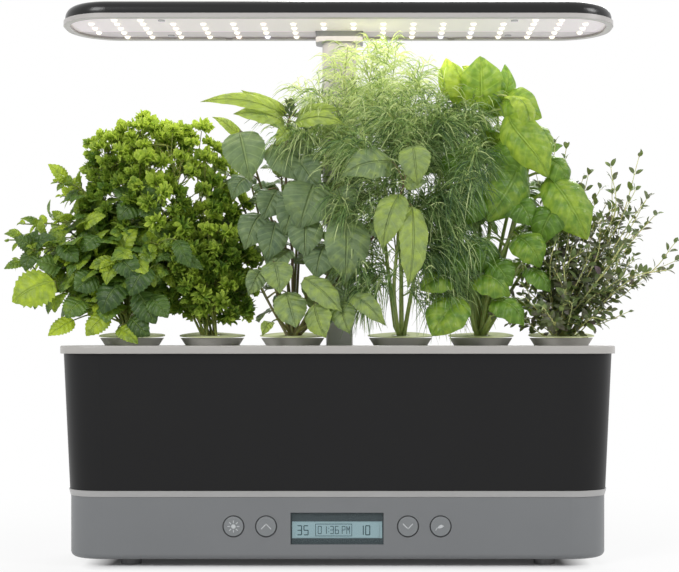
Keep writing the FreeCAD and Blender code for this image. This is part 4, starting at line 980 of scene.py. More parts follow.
def leaf_skin(name, deep, fresh, pale, rib, gloss, veins=7.0, slant=0.9, vein_share=0.35, swell=0.25,
              through=0.3, blotch=6.0, painted_edge_light=0.0):
    """A leaf's skin: three greens by the leaf's tint, veins from its map, and light that shines through."""
    material, tree, out = start(name)
    own = add(tree, "ShaderNodeAttribute", attribute_name="tint")
    place = add(tree, "ShaderNodeTexCoord")
    chart = add(tree, "ShaderNodeUVMap", uv_map="leaf_map")
    axes = add(tree, "ShaderNodeSeparateXYZ", {0: chart.outputs[0]})
    spots = add(tree, "ShaderNodeTexNoise", {"Vector": place.outputs["Object"], "Scale": 1 / (blotch * MM),
                                             "Detail": 3.0})
    drift = add(tree, "ShaderNodeMapRange", {"Value": spots.outputs["Fac"], "From Min": 0.25,
                                             "From Max": 0.75, "To Min": -0.22, "To Max": 0.22})
    level = add(tree, "ShaderNodeMath", {0: own.outputs["Fac"], 1: drift.outputs[0]}, operation="ADD")
    # The leaf is painted paler from root to tip by this amount. On parsley's frills the tip is the rim, so
    # this is a painted highlight along their edges.
    level = add(tree, "ShaderNodeMath", {0: axes.outputs["X"], 1: painted_edge_light, 2: level.outputs[0]},
                operation="MULTIPLY_ADD")
    greens = add(tree, "ShaderNodeValToRGB", {0: level.outputs[0]})
    bands = greens.color_ramp
    bands.elements[0].color = paint(deep)
    bands.elements[1].color = paint(pale)
    bands.elements.new(0.5).color = paint(fresh)
    centred = add(tree, "ShaderNodeMath", {0: axes.outputs["Y"], 1: 0.5}, operation="SUBTRACT")
    aside = add(tree, "ShaderNodeMath", {0: centred.outputs[0]}, operation="ABSOLUTE")
    midrib = add(tree, "ShaderNodeMapRange", {"Value": aside.outputs[0], "From Min": 0.012, "From Max": 0.045,
                                              "To Min": 1.0, "To Max": 0.0})
    stretch = add(tree, "ShaderNodeMath", {0: axes.outputs["X"], 1: veins}, operation="MULTIPLY")
    sweep = add(tree, "ShaderNodeMath", {0: aside.outputs[0], 1: -2.0 * slant, 2: stretch.outputs[0]},
                operation="MULTIPLY_ADD")
    saw = add(tree, "ShaderNodeMath", {0: sweep.outputs[0], 1: 0.5}, operation="PINGPONG")
    side_vein = add(tree, "ShaderNodeMapRange", {"Value": saw.outputs[0], "From Min": 0.01, "From Max": 0.10,
                                                 "To Min": 0.75, "To Max": 0.0})
    lines = add(tree, "ShaderNodeMath", {0: midrib.outputs[0], 1: side_vein.outputs[0]}, operation="MAXIMUM")
    share = add(tree, "ShaderNodeMath", {0: lines.outputs[0], 1: vein_share}, operation="MULTIPLY")
    tone = add(tree, "ShaderNodeMix", {0: share.outputs[0], 6: greens.outputs[0], 7: paint(rib)},
               data_type="RGBA")
    low = add(tree, "ShaderNodeMath", {0: saw.outputs[0], 1: midrib.outputs[0]}, operation="SUBTRACT")
    fine = add(tree, "ShaderNodeTexNoise", {"Vector": place.outputs["Object"], "Scale": 1 / (0.9 * MM),
                                            "Detail": 2.0})
    relief = add(tree, "ShaderNodeMath", {0: fine.outputs["Fac"], 1: 0.35, 2: low.outputs[0]},
                 operation="MULTIPLY_ADD")
    bump = add(tree, "ShaderNodeBump", {"Height": relief.outputs[0], "Strength": swell, "Distance": 1.4 * MM})
    skin = add(tree, "ShaderNodeBsdfPrincipled", {"Base Color": tone.outputs[2], "Roughness": gloss,
                                                  "IOR": 1.42, "Normal": bump.outputs[0]})
    warm = add(tree, "ShaderNodeMix", {0: 0.35, 6: tone.outputs[2], 7: paint("#c8e04a")}, data_type="RGBA")
    film = add(tree, "ShaderNodeBsdfTranslucent", {"Color": warm.outputs[2], "Normal": bump.outputs[0]})
    both = add(tree, "ShaderNodeMixShader", {0: through, 1: skin.outputs[0], 2: film.outputs[0]})
    tree.links.new(both.outputs[0], out.inputs["Surface"])
    return material


# %% Stem material


def stem_skin(name, deep, pale, gloss=0.45):
    """A stem's skin, with fine flecks and bumps and a change from deep to pale by its tint."""
    material, tree, out = start(name)
    own = add(tree, "ShaderNodeAttribute", attribute_name="tint")
    place = add(tree, "ShaderNodeTexCoord")
    flecks = add(tree, "ShaderNodeTexNoise", {"Vector": place.outputs["Object"], "Scale": 1 / (3.0 * MM)})
    level = add(tree, "ShaderNodeMath", {0: own.outputs["Fac"], 1: flecks.outputs["Fac"]},
                operation="MULTIPLY")
    tone = add(tree, "ShaderNodeMix", {0: level.outputs[0], 6: paint(deep), 7: paint(pale)}, data_type="RGBA")
    bump = add(tree, "ShaderNodeBump", {"Height": flecks.outputs["Fac"], "Strength": 0.3,
                                        "Distance": 0.1 * MM})
    skin = add(tree, "ShaderNodeBsdfPrincipled", {
        "Base Color": tone.outputs[2], "Roughness": gloss, "IOR": 1.42, "Normal": bump.outputs[0],
        "Subsurface Weight": 0.15, "Subsurface Scale": 1.0 * MM})
    tree.links.new(skin.outputs[0], out.inputs["Surface"])
    return material


# %% [markdown]
# ## Mint
#
# Spearmint sends up many thin square stems that arch outwards over the rim. Its leaves are oval
# with a pointed tip and a toothed edge, and they swell between the veins like quilting. They
# stand in pairs, each pair turned a quarter from the one below, so that a tip seen from above
# is a cross of small leaves. The lower left leaves are the youngest and brightest.

# %% Mint: stems with pairs
mint = Herb(11)
MINT_LEAF = dict(shape=(0.5, 0.72), teeth=9, tooth=0.16, quilt=0.045, fold=0.24, curl=-0.3, arch=0.16,
                 columns=6, point=0.3)
MINT_SHOOTS = [
    # tip across, down, behind, then leaves, longest leaf in mm
    ((138, 200, -12), 9, 27), ((76, 192, 8), 8, 22), ((58, 182, -14), 8, 21), ((26, 224, -4), 8, 24),
    ((10, 240, -22), 8, 22), ((34, 250, -34), 8, 24), ((66, 262, -30), 8, 27), ((104, 232, -6), 9, 26),
    ((158, 244, -38), 8, 25), ((112, 262, -44), 7, 28), ((30, 300, -28), 7, 26),
    ((120, 214, 22), 9, 27), ((88, 222, 26), 8, 26), ((50, 240, 24), 8, 26), ((20, 262, 14), 8, 26),
    ((150, 226, 14), 8, 25), ((70, 290, 10), 7, 27), ((40, 280, 2), 7, 26), ((96, 200, 6), 9, 24),
    ((84, 250, -16), 8, 27), ((150, 262, -34), 8, 29), ((96, 302, -36), 7, 28),
    ((172, 272, -26), 7, 25), ((128, 240, -24), 8, 29), ((60, 222, -14), 8, 26),
    ((84, 210, -10), 8, 25), ((46, 268, -24), 7, 27), ((64, 196, 2), 7, 23),
]
for number, ((across, down, behind), leaves, long) in enumerate(MINT_SHOOTS):
    tip = spot(across, down, behind)
    base = foot(mint, "mint", 3.2)
    out = tip - base
    low = base + np.array([0.18 * out[0], 0.15 * out[1], 0.38 * out[2] + 0.010])
    high = base + np.array([0.62 * out[0], 0.6 * out[1], 0.82 * out[2] + 0.012])
    shoot(mint, [base, low, high, tip], 1.1 * MM, leaves, long * MM, 0.62, first=0.36, droop=0.35,
          tint=(0.16, 0.72) if number % 3 else (0.25, 0.9), stem_tint=0.5, **MINT_LEAF)

# %% Mint: the leaves that catch the eye
MINT_LEAVES = [
    # root across, down, tip across, down, width in picture points, behind, tint
    (54, 281, 12, 302, 40, -44, 0.85), (74, 320, 48, 336, 18, -38, 1.0),
    (66, 184, 48, 164, 15, -8, 0.85), (70, 197, 82, 176, 15, 0, 0.85), (42, 228, 20, 219, 10, -8, 0.6),
    (24, 238, 4, 234, 10, -10, 0.6), (26, 262, 4, 269, 11, -16, 0.55), (34, 250, 14, 238, 19, -30, 0.1),
    (36, 250, 56, 238, 19, -30, 0.12), (34, 252, 26, 272, 18, -32, 0.1),
    (34, 248, 38, 230, 16, -26, 0.15), (138, 202, 112, 190, 20, -18, 0.4),
    (139, 202, 164, 192, 20, -18, 0.42), (138, 200, 128, 180, 15, -14, 0.5),
    (139, 200, 148, 178, 15, -12, 0.5), (137, 204, 118, 220, 24, -24, 0.3),
    (140, 204, 160, 218, 24, -24, 0.32), (174, 256, 204, 270, 14, -34, 0.35),
    (122, 282, 102, 314, 30, -44, 0.12), (138, 292, 156, 324, 28, -46, 0.1),
    (130, 318, 150, 336, 22, -44, 0.12), (108, 314, 86, 336, 22, -42, 0.85),
    (118, 328, 138, 344, 17, -44, 0.8), (60, 268, 36, 262, 22, -34, 0.4),
    (84, 300, 66, 318, 26, -40, 0.5), (96, 276, 74, 290, 26, -42, 0.3),
    (118, 258, 140, 280, 24, -46, 0.2), (150, 268, 130, 296, 28, -50, 0.16),
    (176, 240, 190, 268, 17, -44, 0.25), (100, 236, 82, 252, 22, -36, 0.35),
    (84, 226, 106, 216, 18, -30, 0.75), (60, 244, 78, 262, 20, -38, 0.3),
    (150, 296, 168, 318, 22, -48, 0.3),
]
picture_leaves(mint, MINT_LEAVES, 4, 4, 0.55, 0.12, **MINT_LEAF)

mint_leaf = leaf_skin("mint_leaf", "#304d26", "#5c7c36", "#bdd43c", "#a3be6a", 0.34, veins=6.0, slant=1.0,
                      swell=0.7, vein_share=0.3)
green_stem = stem_skin("green_stem", "#5c6d2c", "#b7bd62")
mint.finish("mint", "mint_plant", mint_leaf, green_stem)

# %% [markdown]
# ## Curly parsley
#
# Curly parsley is a dense dome. Each thin leaf stalk splits near its end and carries tufts of
# small leaflets, and each leaflet is cut and ruffled so strongly that it looks like a frill. A
# frill is a fan whose waves grow from its root to its edge, because the edge is longer than the
# arc that it has to fit on.

# %% Parsley: frills


def frill(herb, root, out, facing, radius, tint, waves=5.0, open_by=2.3, rings=3, spokes=17):
    """A ruffled fan: a leaflet whose edge waves up and down. Open_by is its angle in radians."""
    out = unit(out)
    up = unit(facing - out * np.dot(facing, out))
    side = np.cross(out, up)
    r = np.linspace(0, 1, rings + 1)[:, None]
    a = np.linspace(-open_by / 2, open_by / 2, spokes)[None, :]
    phase = herb.chance.uniform(0, 6)
    lobes = 1 + 0.36 * r * np.cos(waves * 2.2 * a + phase)
    reach = radius * r * lobes * np.cos(a * 0.55)
    lift = radius * 0.34 * r ** 1.5 * np.sin(waves * 1.9 * a + phase) - radius * 0.25 * r * r
    points = (root + (reach * np.cos(a))[..., None] * out + (reach * np.sin(a))[..., None] * side
              + lift[..., None] * up)
    uv = np.stack([r * np.ones_like(a), (a / open_by + 0.5) * np.ones_like(r)], axis=-1).reshape(-1, 2)
    herb.take(points.reshape(-1, 3), quads(rings + 1, spokes), uv, tint, LEAF)


TUFT_FRILLS = 8


def tuft(herb, at, out, size, tint):
    """Several frills from one point, spread round a direction."""
    a = unit(np.cross(out, (0.3, 0.8, 0.5)))
    b = np.cross(out, a)
    for k in range(TUFT_FRILLS):
        phi = 2.4 * k + herb.chance.uniform(0, 0.6)
        lean = 0.25 + 0.75 * (k % 3) / 2
        way = unit(out + lean * (a * math.cos(phi) + b * math.sin(phi)))
        frill(herb, at + way * size * 0.15, way, unit(out + 0.4 * UP + herb.chance.normal(0, 0.3, 3)),
              size * herb.chance.uniform(0.75, 1.1), float(np.clip(tint + herb.chance.normal(0, 0.1), 0, 1)))


# %% Parsley: stalks
DOME = (166, 212, 4)
DOME_REACH = (60, 40, 72)
STALKS = 15

parsley = Herb(23)
for number in range(STALKS):
    angle = 2 * math.pi * number / STALKS + 0.2
    lean = np.array([math.cos(angle) * 0.62, math.sin(angle) * 0.55, 0.15 + 0.5 * (number % 3) / 2])
    crown = spot(*DOME) + lean * (np.array(DOME_REACH) * MM)
    base = foot(parsley, "parsley", 5.0)
    bend = base * 0.55 + crown * 0.45 + np.array([0.04 * (base[0] - crown[0]), 0, 0.002])
    stem(parsley, smooth_path([base, bend, crown], 8), 1.1 * MM, 0.5 * MM, tint=0.75)
print("parsley stalks:", STALKS)

# %% [markdown]
# The tufts sit on rounded lumps. A step of one golden angle after another spreads them evenly
# over each lump, and a third of them sit deeper, so that no gap shows through the crown.

# %% Parsley: tufts
GOLDEN_ANGLE = 2.39996
LOWEST_TUFT = 178 * MM
LUMPS = [
    # middle in the picture, reach in mm, tufts, and how much paler, as painted light
    (DOME, DOME_REACH, 205, 0.06),
    ((203, 262, -4), (40, 32, 40), 105, 0.02),  # the mass low on the right
    ((216, 298, -6), (28, 24, 18), 36, 0.06),
    ((112, 160, 0), (20, 18, 18), 24, 0.1),
    ((142, 134, -2), (13, 12, 9), 9, 0.35),  # the tuft that stands out on top
    ((178, 142, 6), (9, 10, 7), 6, 0.2),
]
for middle, reach, tufts, paler in LUMPS:
    for number in range(tufts):
        height = 1 - 1.9 * (number + 0.5) / tufts
        turned = number * GOLDEN_ANGLE
        flat = math.sqrt(max(0.0, 1 - height * height))
        ball = np.array([flat * math.cos(turned), flat * math.sin(turned), height])
        depth = parsley.chance.uniform(0.80, 1.0) if number % 3 else parsley.chance.uniform(0.5, 0.8)
        lump = 1 + 0.09 * math.sin(5 * turned) * math.sin(6 * height)
        at = spot(*middle) + ball * (np.array(reach) * MM) * depth * lump
        if at[2] < LOWEST_TUFT:
            at[2] = LOWEST_TUFT + 12 * MM * parsley.chance.random()
            at[0] = at[0] * 0.6 + POD["parsley"] * 0.4
        joint = parsley.near(at - ball * 0.02)
        stem(parsley, smooth_path([joint, (joint + at) / 2 + np.array([0, 0, -0.003]), at], 3), 0.5 * MM,
             0.3 * MM, tint=0.8, sides=4, keep=False)
        # Tufts high on a lump and near its surface get a paler tint, and deep ones a darker one: painted
        # light and shade.
        light = 0.34 + paler + 0.36 * max(0, height) + 0.5 * (depth - 0.8) + 0.14 * math.sin(3 * turned)
        tuft(parsley, at, unit(ball + 0.3 * UP + 0.15 * VIEWER), parsley.chance.uniform(5.4, 7.8) * MM, light)

parsley_leaf = leaf_skin("curly_parsley_leaf", "#24420e", "#587f26", "#c0d658", "#84b04a", 0.5, veins=3.0,
                         swell=0.4, vein_share=0.2, blotch=4.0, painted_edge_light=0.3)
parsley.finish("parsley", "parsley_plant", parsley_leaf, green_stem)

# %% [markdown]
# ## Thai basil
#
# Thai basil has smooth pointed leaves with a few shallow teeth, folded a little along the
# midrib, on stems that turn purple towards the flower buds. The leaves hang from the nodes by
# clear stalks, so many of them show their whole upper face to the front.

# %% Thai basil: stems and named leaves
thai = Herb(37)
THAI_LEAF = dict(shape=(0.5, 0.74), teeth=9, tooth=0.04, fold=0.26, curl=-0.26, arch=0.17, wave=0.12,
                 columns=8, rows=20, quilt=0.034, point=0.5)
THAI_STEMS = [
    [(292, 334, -10), (286, 270, -8), (262, 190, -12), (246, 138, -8)],
    [(293, 334, -8), (292, 250, -14), (286, 180, -20), (287, 132, -26), (290, 114, -28)],
    [(295, 334, -10), (312, 280, -16), (340, 215, -22), (356, 160, -24)],
    [(290, 334, -6), (276, 290, -24), (262, 240, -28), (268, 190, -26)],
    [(296, 334, -12), (318, 300, -30), (346, 262, -34), (372, 220, -34)],
    [(292, 334, -4), (296, 260, 8), (300, 190, 6), (312, 128, 2)],
    [(291, 334, -12), (274, 312, -34), (262, 288, -38)],
    [(294, 334, -14), (320, 318, -38), (356, 306, -42)],
    [(291, 334, -2), (268, 250, 12), (250, 180, 12)],
    [(297, 334, -12), (352, 262, -34), (392, 214, -46), (404, 184, -50)],
]
BUD_STEMS = (1, 9)
main_stems(thai, "thai", 3, THAI_STEMS, 1.3 * MM, 0.7 * MM, 0.6, purple=BUD_STEMS)

THAI_LEAVES = [
    (285, 116, 200, 102, 15, -30, 0.95), (288, 113, 241, 90, 12, -26, 0.95),
    (285, 123, 233, 114, 20, -32, 0.88), (242, 136, 212, 117, 11, -12, 0.95),
    (288, 126, 276, 146, 14, -30, 0.9), (295, 122, 346, 126, 18, -32, 0.88),
    (297, 117, 342, 109, 14, -28, 0.85), (240, 132, 250, 182, 42, -24, 0.35),
    (270, 146, 300, 182, 34, -26, 0.4), (296, 158, 322, 190, 30, -28, 0.35),
    (290, 136, 312, 156, 22, -18, 0.5), (314, 184, 298, 230, 52, -38, 0.42),
    (344, 216, 346, 284, 44, -42, 0.5), (306, 218, 306, 258, 34, -40, 0.38),
    (274, 262, 280, 294, 30, -46, 0.62), (286, 292, 296, 328, 32, -50, 0.6),
    (304, 278, 342, 312, 26, -52, 0.66), (314, 304, 326, 338, 28, -54, 0.72),
    (338, 302, 350, 334, 24, -50, 0.6), (350, 296, 386, 326, 20, -50, 0.66),
    (392, 162, 342, 176, 34, -54, 0.55), (412, 146, 418, 186, 30, -56, 0.66),
    (400, 194, 382, 250, 30, -56, 0.74), (412, 206, 408, 288, 28, -58, 0.78),
    (404, 184, 428, 182, 14, -56, 0.6), (262, 214, 244, 250, 32, -30, 0.3),
    (276, 222, 266, 262, 30, -34, 0.25), (338, 188, 350, 216, 30, -32, 0.4),
    (252, 176, 232, 200, 28, -20, 0.25), (290, 250, 270, 276, 28, -36, 0.4),
    (326, 244, 316, 280, 34, -40, 0.3), (262, 270, 248, 296, 20, -42, 0.5),
    (330, 146, 352, 158, 20, -20, 0.55), (278, 190, 262, 220, 30, -28, 0.3),
    (372, 220, 392, 240, 24, -36, 0.5), (302, 196, 282, 236, 34, -32, 0.3),
    (334, 286, 330, 316, 26, -44, 0.45), (272, 322, 262, 336, 12, -40, 0.85),
]
picture_leaves(thai, THAI_LEAVES, 5, 5, 0.35, 0.3, **THAI_LEAF)

# %% Thai basil: the leaves behind
THAI_BEHIND = [
    ([(262, 250, 16), (236, 190, 20), (228, 150, 20)], 7, 30),
    ([(300, 240, 18), (306, 170, 16), (300, 120, 10)], 8, 28),
    ([(330, 270, 4), (352, 200, 0), (352, 160, -4)], 7, 28),
    ([(262, 290, 4), (244, 250, 6)], 5, 26),
    ([(334, 300, -10), (366, 270, -14)], 5, 26),
    ([(284, 220, 4), (280, 150, 0)], 7, 30),
]
shoots_behind(thai, "thai", THAI_BEHIND, 1.2 * MM, 0.56, tint=(0.1, 0.5), **THAI_LEAF)

# %% [markdown]
# The flower bud on top is a short dark spike of small scales, set round it in a spiral.

# %% Thai basil: the bud
BUD_ACROSS, BUD_DOWN, BUD_BEHIND, BUD_TALL = 290, 118, -29, 18
BUD_SCALES = 26
BUD_RADIUS = 3.2 * MM

for k in range(BUD_SCALES):
    phi = 2.4 * k
    up = 0.9 * k / BUD_SCALES
    ring = BUD_RADIUS * (1 - 0.7 * up) * np.array([math.cos(phi), math.sin(phi), 0])
    at = spot(BUD_ACROSS, BUD_DOWN - BUD_TALL * up, BUD_BEHIND) + ring
    out = unit(np.array([math.cos(phi), math.sin(phi), 0.9]))
    blade(thai, at, at + out * 5 * MM, 3.2 * MM, unit(UP + out * 0.3), shape=(0.5, 0.7), tint=0.02, rows=4,
          columns=2)

thai_leaf = leaf_skin("thai_basil_leaf", "#4a6450", "#7f9468", "#b9cf5c", "#a7bd80", 0.4, veins=6.0,
                      slant=1.3, swell=1.0, vein_share=0.45, through=0.24)
purple_stem = stem_skin("basil_stem", "#5d3f3a", "#9fb35e")
thai.finish("thai_basil", "thai_basil_plant", thai_leaf, purple_stem)

# %% [markdown]
# ## Dill
#
# Dill has stout pale stems that end in plumes. A plume is a main stalk with side branches in
# pairs, and each branch carries threads, about two centimetres long and half a millimetre wide,
# which leave the branch at a slant and hang over at their ends. There are many thousands of
# them, so they are made all at once as narrow ribbons.

# %% Dill: threads and plumes
THREAD_STEPS = np.array((0.0, 0.34, 0.68, 1.0))  # shares of a thread's length
THREAD_SAG = np.array((0.0, 0.05, 0.26, 0.62))
THREAD_WIDTH = np.array((1.0, 1.0, 0.8, 0.25))
THREAD_RADIUS = 0.33 * MM
THREAD_LENGTH = 22 * MM


def threads(herb, starts, ways, longs, radius, tint):
    """Many thin threads at once. Each leaves along its own way and hangs over towards its end."""
    path = (starts[:, None] + ways[:, None] * (longs[:, None] * THREAD_STEPS)[..., None]
            - UP * (longs[:, None] * THREAD_SAG)[..., None])
    along = np.gradient(path, axis=1)
    normal = VIEWER + herb.chance.normal(0, 0.9, (len(starts), 3))
    side = np.cross(along, normal[:, None])
    side /= np.linalg.norm(side, axis=2)[..., None] + 1e-12
    side *= (radius * THREAD_WIDTH)[None, :, None]
    points = np.stack([path - side, path + side], axis=2)
    count, rows = len(starts), len(THREAD_STEPS)
    faces = (quads(rows, 2)[None] + 2 * rows * np.arange(count)[:, None, None]).reshape(-1, 4)
    uv = np.tile(np.stack([np.repeat(THREAD_STEPS, 2), np.tile([0.3, 0.7], rows)], axis=1), (count, 1))
    herb.take(points.reshape(-1, 3), faces, uv, 0.0, LEAF)
    herb.tint[-1] = np.repeat(np.clip(tint, 0, 1), 2 * rows)


# %% Dill: one plume
BRANCH_PAIRS = 12
COMB = 8  # threads on each branch


def plume(herb, knots, thick, branch, tint):
    """A feathery dill leaf along a path: branches in pairs, each set with hanging threads."""
    chance = herb.chance
    path = smooth_path(knots, 8)
    stem(herb, path, thick, 0.3 * MM, tint=0.6, sides=4)
    strands = []
    for t in np.linspace(0.15, 0.98, BRANCH_PAIRS):
        node, tangent = along_path(path, t)
        a = unit(np.cross(tangent, (0.15, 1.0, 0.2)))
        b = np.cross(tangent, a)
        for sign in (-1, 1):
            phi = chance.normal(0, 0.8)
            out = unit(sign * (a * math.cos(phi) + b * math.sin(phi)) + tangent * 1.1)
            long = branch * (1 - 0.6 * t) * chance.uniform(0.7, 1.15)
            strands.append((node, out, long, tint))
            for s in np.linspace(0.1, 0.95, COMB):
                base = node + out * long * s - UP * long * 0.6 * s ** 3
                way = unit(out * 0.9 + chance.normal(0, 0.5, 3))
                length = THREAD_LENGTH * chance.uniform(0.55, 1.1) * (1 - 0.3 * s)
                strands.append((base, way, length, tint + chance.normal(0, 0.3)))
    starts, ways, longs, tints = (np.array(column) for column in zip(*strands))
    threads(herb, starts, ways, longs, THREAD_RADIUS, tints)


# %% Dill: stems
dill = Herb(41)
DILL_STEMS = [
    [(396, 334, -10), (388, 270, -12), (380, 200, -12), (366, 120, -8)],
    [(401, 334, -12), (402, 260, -20), (410, 190, -22), (424, 120, -18)],
    [(404, 334, -8), (414, 280, -14), (430, 210, -16), (452, 150, -14)],
    [(398, 334, -14), (394, 290, -26), (398, 240, -32), (404, 180, -30)],
    [(402, 334, -6), (400, 250, 0), (392, 170, 2), (398, 100, 2)],
]
main_stems(dill, "dill", 2.5, DILL_STEMS, 1.7 * MM, 0.9 * MM, 0.85, steps=8)

# %% Dill: plumes
DILL_PLUMES = [
    # root, bend and tip in the picture, longest branch in mm, tint, which is darker for low plumes, partly as
    # painted shade
    ((372, 160, -8), (352, 110, -8), (338, 60, -10), 30, 0.85),
    ((380, 150, -8), (372, 96, -6), (362, 52, -8), 30, 0.8),
    ((392, 150, -2), (392, 92, -2), (396, 50, -4), 28, 0.8),
    ((398, 160, 0), (410, 104, 0), (424, 66, -2), 28, 0.7),
    ((366, 170, -10), (330, 120, -12), (296, 88, -16), 30, 0.75),
    ((362, 190, -14), (326, 150, -18), (290, 128, -24), 28, 0.6),
    ((374, 180, -12), (346, 140, -20), (318, 100, -22), 30, 0.7),
    ((418, 170, -18), (430, 120, -16), (446, 84, -14), 28, 0.6),
    ((424, 180, -18), (448, 140, -18), (474, 112, -18), 26, 0.5),
    ((430, 200, -18), (456, 170, -22), (480, 160, -26), 26, 0.4),
    ((404, 200, -28), (408, 150, -34), (414, 106, -34), 30, 0.45),
    ((398, 220, -30), (378, 176, -36), (356, 140, -38), 30, 0.5),
    ((404, 230, -30), (430, 196, -38), (456, 186, -42), 28, 0.3),
    ((398, 250, -28), (368, 222, -36), (340, 206, -40), 28, 0.45),
    ((408, 250, -26), (436, 232, -36), (462, 236, -40), 28, 0.25),
    ((410, 270, -20), (440, 262, -30), (466, 276, -34), 26, 0.3),
    ((394, 270, -22), (372, 254, -32), (352, 258, -36), 26, 0.4),
    ((396, 290, -20), (376, 280, -32), (360, 292, -36), 22, 0.35),
    ((406, 290, -20), (430, 284, -32), (448, 298, -36), 22, 0.3),
    ((402, 200, -32), (396, 150, -36), (388, 112, -38), 28, 0.55),
    ((404, 220, -34), (424, 206, -36), (442, 206, -38), 26, 0.3),
    ((400, 180, 2), (380, 130, 6), (360, 96, 6), 28, 0.65),
    ((400, 160, 2), (430, 120, 6), (452, 96, 4), 28, 0.55),
    ((408, 210, -10), (446, 200, -8), (476, 214, -12), 26, 0.25),
    ((396, 230, -8), (372, 200, -4), (350, 184, -4), 26, 0.35),
    ((404, 190, -16), (420, 140, -26), (440, 112, -28), 28, 0.4),
    ((410, 160, -22), (396, 120, -30), (380, 84, -30), 30, 0.7),
    ((402, 260, -30), (424, 246, -36), (446, 250, -38), 24, 0.2),
]
THICK_FROM, THICK_TO = 105, 200  # between these heights in the picture each plume gets two echoes
ECHO_SPREAD = np.array([9, 13, 7]) * MM
# Each echo gets a darker tint than the one before, as painted shade for the plumes deeper in the mass.
for root, bend, tip, branch, tint in DILL_PLUMES:
    start_at = dill.near(spot(*root))
    for echo in range(3 if THICK_FROM < tip[1] < THICK_TO else 2):
        spread = (echo > 0) * ECHO_SPREAD
        middle = spot(*bend) + dill.chance.normal(0, 0.7, 3) * spread
        end = spot(*tip) + dill.chance.normal(0, 1, 3) * spread - 8 * MM * (echo == 2) * UP
        plume(dill, [start_at, middle, end], 0.5 * MM, branch * MM, tint + 0.1 - 0.12 * echo)

dill_thread = leaf_skin("dill_thread", "#2f4f34", "#84a262", "#dfebaa", "#a8c060", 0.5, veins=1.0, swell=0.1,
                        vein_share=0.0, through=0.25)
dill_stem = stem_skin("dill_stem", "#7f9444", "#c3cf86", 0.4)
dill.finish("dill", "dill_plant", dill_thread, dill_stem)

# %% [markdown]
# ## Genovese basil
#
# This basil's leaves are large, glossy and cupped: the blade swells up between the midrib and
# an edge that turns down. They shine brightest near the lamp. Thick pale stems carry them in
# pairs, with small young leaves in each pair's fork.

# %% Basil: stems and named leaves
basil = Herb(53)
BASIL_LEAF = dict(shape=(0.5, 0.62), fold=0.34, curl=-0.7, arch=0.26, wave=0.08, columns=10, rows=22,
                  quilt=0.045, point=0.4)
BASIL_STEMS = [
    [(476, 334, -8), (474, 260, -10), (478, 170, -8), (480, 100, -6)],
    [(480, 334, -10), (492, 280, -16), (516, 220, -18), (530, 160, -14)],
    [(484, 334, -8), (504, 290, -12), (540, 240, -10), (562, 200, -8)],
    [(476, 334, -12), (466, 300, -26), (450, 290, -34)],
    [(480, 334, -4), (480, 240, 6), (470, 160, 10), (452, 100, 8)],
    [(482, 334, -12), (494, 310, -30), (500, 280, -36)],
    [(484, 334, -4), (506, 250, 8), (524, 180, 14)],
]
main_stems(basil, "basil", 2.8, BASIL_STEMS, 1.9 * MM, 1.0 * MM, 0.8)

BASIL_LEAVES = [
    (484, 112, 480, 56, 44, -18, 0.62), (492, 106, 505, 64, 24, -8, 0.5),
    (462, 104, 452, 62, 30, -14, 0.9), (456, 100, 446, 58, 26, 0, 0.95),
    (508, 112, 548, 178, 40, -30, 0.72), (500, 102, 542, 118, 36, -18, 0.66),
    (506, 96, 530, 132, 26, -34, 0.85), (520, 160, 488, 222, 50, -30, 0.55),
    (548, 176, 588, 240, 42, -28, 0.65), (540, 158, 566, 190, 30, -20, 0.5),
    (524, 150, 552, 144, 26, -14, 0.75), (486, 238, 480, 272, 40, -34, 0.25),
    (516, 236, 540, 268, 34, -34, 0.55), (474, 280, 510, 296, 34, -40, 0.6),
    (462, 298, 432, 336, 44, -44, 0.6), (452, 282, 420, 290, 30, -40, 0.6),
    (492, 300, 524, 326, 30, -42, 0.5), (478, 190, 458, 226, 40, -30, 0.35),
    (508, 196, 532, 226, 36, -30, 0.4), (470, 150, 446, 182, 34, -26, 0.4),
    (496, 144, 520, 176, 34, -24, 0.45), (456, 116, 436, 140, 28, -12, 0.7),
    (556, 206, 540, 246, 34, -26, 0.4), (574, 200, 590, 218, 22, -16, 0.6),
    (490, 262, 512, 286, 30, -38, 0.4), (466, 246, 446, 276, 32, -34, 0.35),
    (526, 268, 550, 292, 26, -34, 0.45), (478, 84, 462, 66, 18, 2, 0.8),
    (530, 128, 552, 150, 26, -8, 0.6),
]
picture_leaves(basil, BASIL_LEAVES, 6, 4, 0.5, 0.26, stalk=0.9 * MM, **BASIL_LEAF)

# %% Basil: the leaves behind
BASIL_BEHIND = [
    ([(474, 220, 16), (462, 150, 18), (458, 90, 14)], 7, 36),
    ([(504, 230, 22), (520, 170, 24), (526, 130, 20)], 7, 36),
    ([(524, 270, 10), (556, 226, 12)], 6, 32),
    ([(462, 270, 6), (448, 230, 6)], 5, 32),
    ([(492, 200, 6), (498, 140, 8), (496, 90, 4)], 8, 34),
]
shoots_behind(basil, "basil", BASIL_BEHIND, 1.7 * MM, 0.68, tint=(0.15, 0.6), stem_tint=0.8, **BASIL_LEAF)

basil_leaf = leaf_skin("basil_leaf", "#33591a", "#668f32", "#bcd350", "#a6c765", 0.25, veins=5.5, slant=1.2,
                       swell=0.8, vein_share=0.4)
basil.finish("basil", "basil_plant", basil_leaf, dill_stem)

# %% [markdown]
# ## Thyme
#
# Thyme is a loose bush of wiry stems with pairs of tiny leaves, each only a few millimetres
# long, dark green to purple, set close on the young shoots. It spreads wide and low to the
# right, with single sprigs that reach up out of the mass.

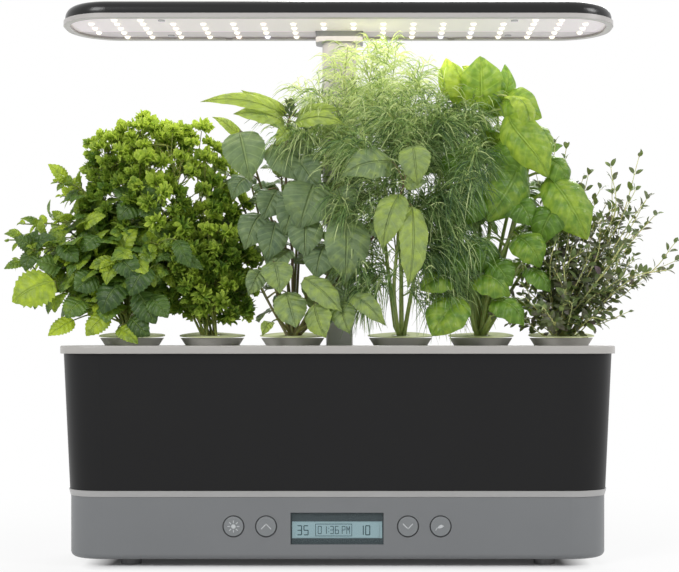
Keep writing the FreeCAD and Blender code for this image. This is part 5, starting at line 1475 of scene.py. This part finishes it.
# %% Thyme
thyme = Herb(67)
THYME_LEAF = dict(shape=(0.6, 0.7), rows=4, columns=2, fold=0.3, curl=-0.2, arch=0.1)
THYME_TIPS = [
    (566, 150, -8, 5.0), (611, 168, -10, 5.0), (646, 200, -12, 5.0), (674, 244, -14, 4.6),
    (668, 270, -20, 4.2), (588, 176, -4, 5.0), (628, 214, -4, 4.8), (540, 206, -14, 4.4),
    (520, 236, -20, 4.2), (600, 190, 8, 4.8), (634, 236, 4, 4.6), (572, 190, -20, 5.0),
    (552, 180, 6, 4.6), (620, 250, -26, 4.6), (640, 284, -16, 4.2), (600, 220, -28, 4.8),
    (560, 226, -30, 4.6), (530, 262, -30, 4.2), (508, 270, -24, 4.0), (612, 290, -30, 4.4),
    (584, 250, -38, 4.6), (554, 268, -38, 4.4), (524, 296, -34, 4.0), (500, 300, -28, 3.8),
    (590, 290, -40, 4.2), (566, 300, -44, 4.2), (540, 310, -40, 4.0), (628, 312, -22, 4.0),
    (604, 320, -32, 4.0), (576, 210, 16, 4.8), (606, 236, 20, 4.8), (632, 262, 16, 4.6),
    (552, 230, 20, 4.6), (584, 262, 24, 4.6), (530, 250, 10, 4.2), (616, 210, 14, 4.8),
    (594, 206, -14, 4.8), (644, 226, 2, 4.6), (548, 290, 4, 4.2), (612, 270, 2, 4.4),
]
FORK_SPREAD = np.array([13, 9, 11])
UPPER_SPRIGS = 230  # above this height in the picture each place gets three sprigs
LOWEST_SPRIG = 172 * MM


def thyme_size(t):
    """Thyme leaves are largest a little below the middle of the sprig."""
    return 0.62 + 0.38 * math.sin(math.pi * min(1, t * 1.1))


for across, down, behind, size in THYME_TIPS:
    tip = spot(across, down, behind)
    for fork in range(3 if down < UPPER_SPRIGS else 2):
        aim = tip + thyme.chance.normal(0, 1, 3) * FORK_SPREAD * MM * (fork > 0)
        aim[2] = max(aim[2], LOWEST_SPRIG)
        base = foot(thyme, "thyme", 3.4)
        out = aim - base
        low = base + out * 0.32 + thyme.chance.normal(0, 3, 3) * MM + np.array([0, 0, 0.10 * abs(out[0])])
        high = base + out * 0.7 + thyme.chance.normal(0, 5, 3) * MM + np.array([0, 0, 0.06 * abs(out[0])])
        shoot(thyme, [base, low, high, aim], 0.55 * MM, 8, size * 2.05 * MM, 0.5, first=0.34, droop=0.1,
              lift=0.45, tint=(0.3, 0.42), stem_tint=0.9, size=thyme_size, **THYME_LEAF)

thyme_leaf = leaf_skin("thyme_leaf", "#573f50", "#56693a", "#afbf78", "#93a568", 0.42, veins=2.0, swell=0.2,
                       vein_share=0.15, through=0.15, blotch=9.0)
wiry_stem = stem_skin("thyme_stem", "#a9b060", "#dde0a0", 0.5)
thyme.finish("thyme", "thyme_plant", thyme_leaf, wiry_stem)
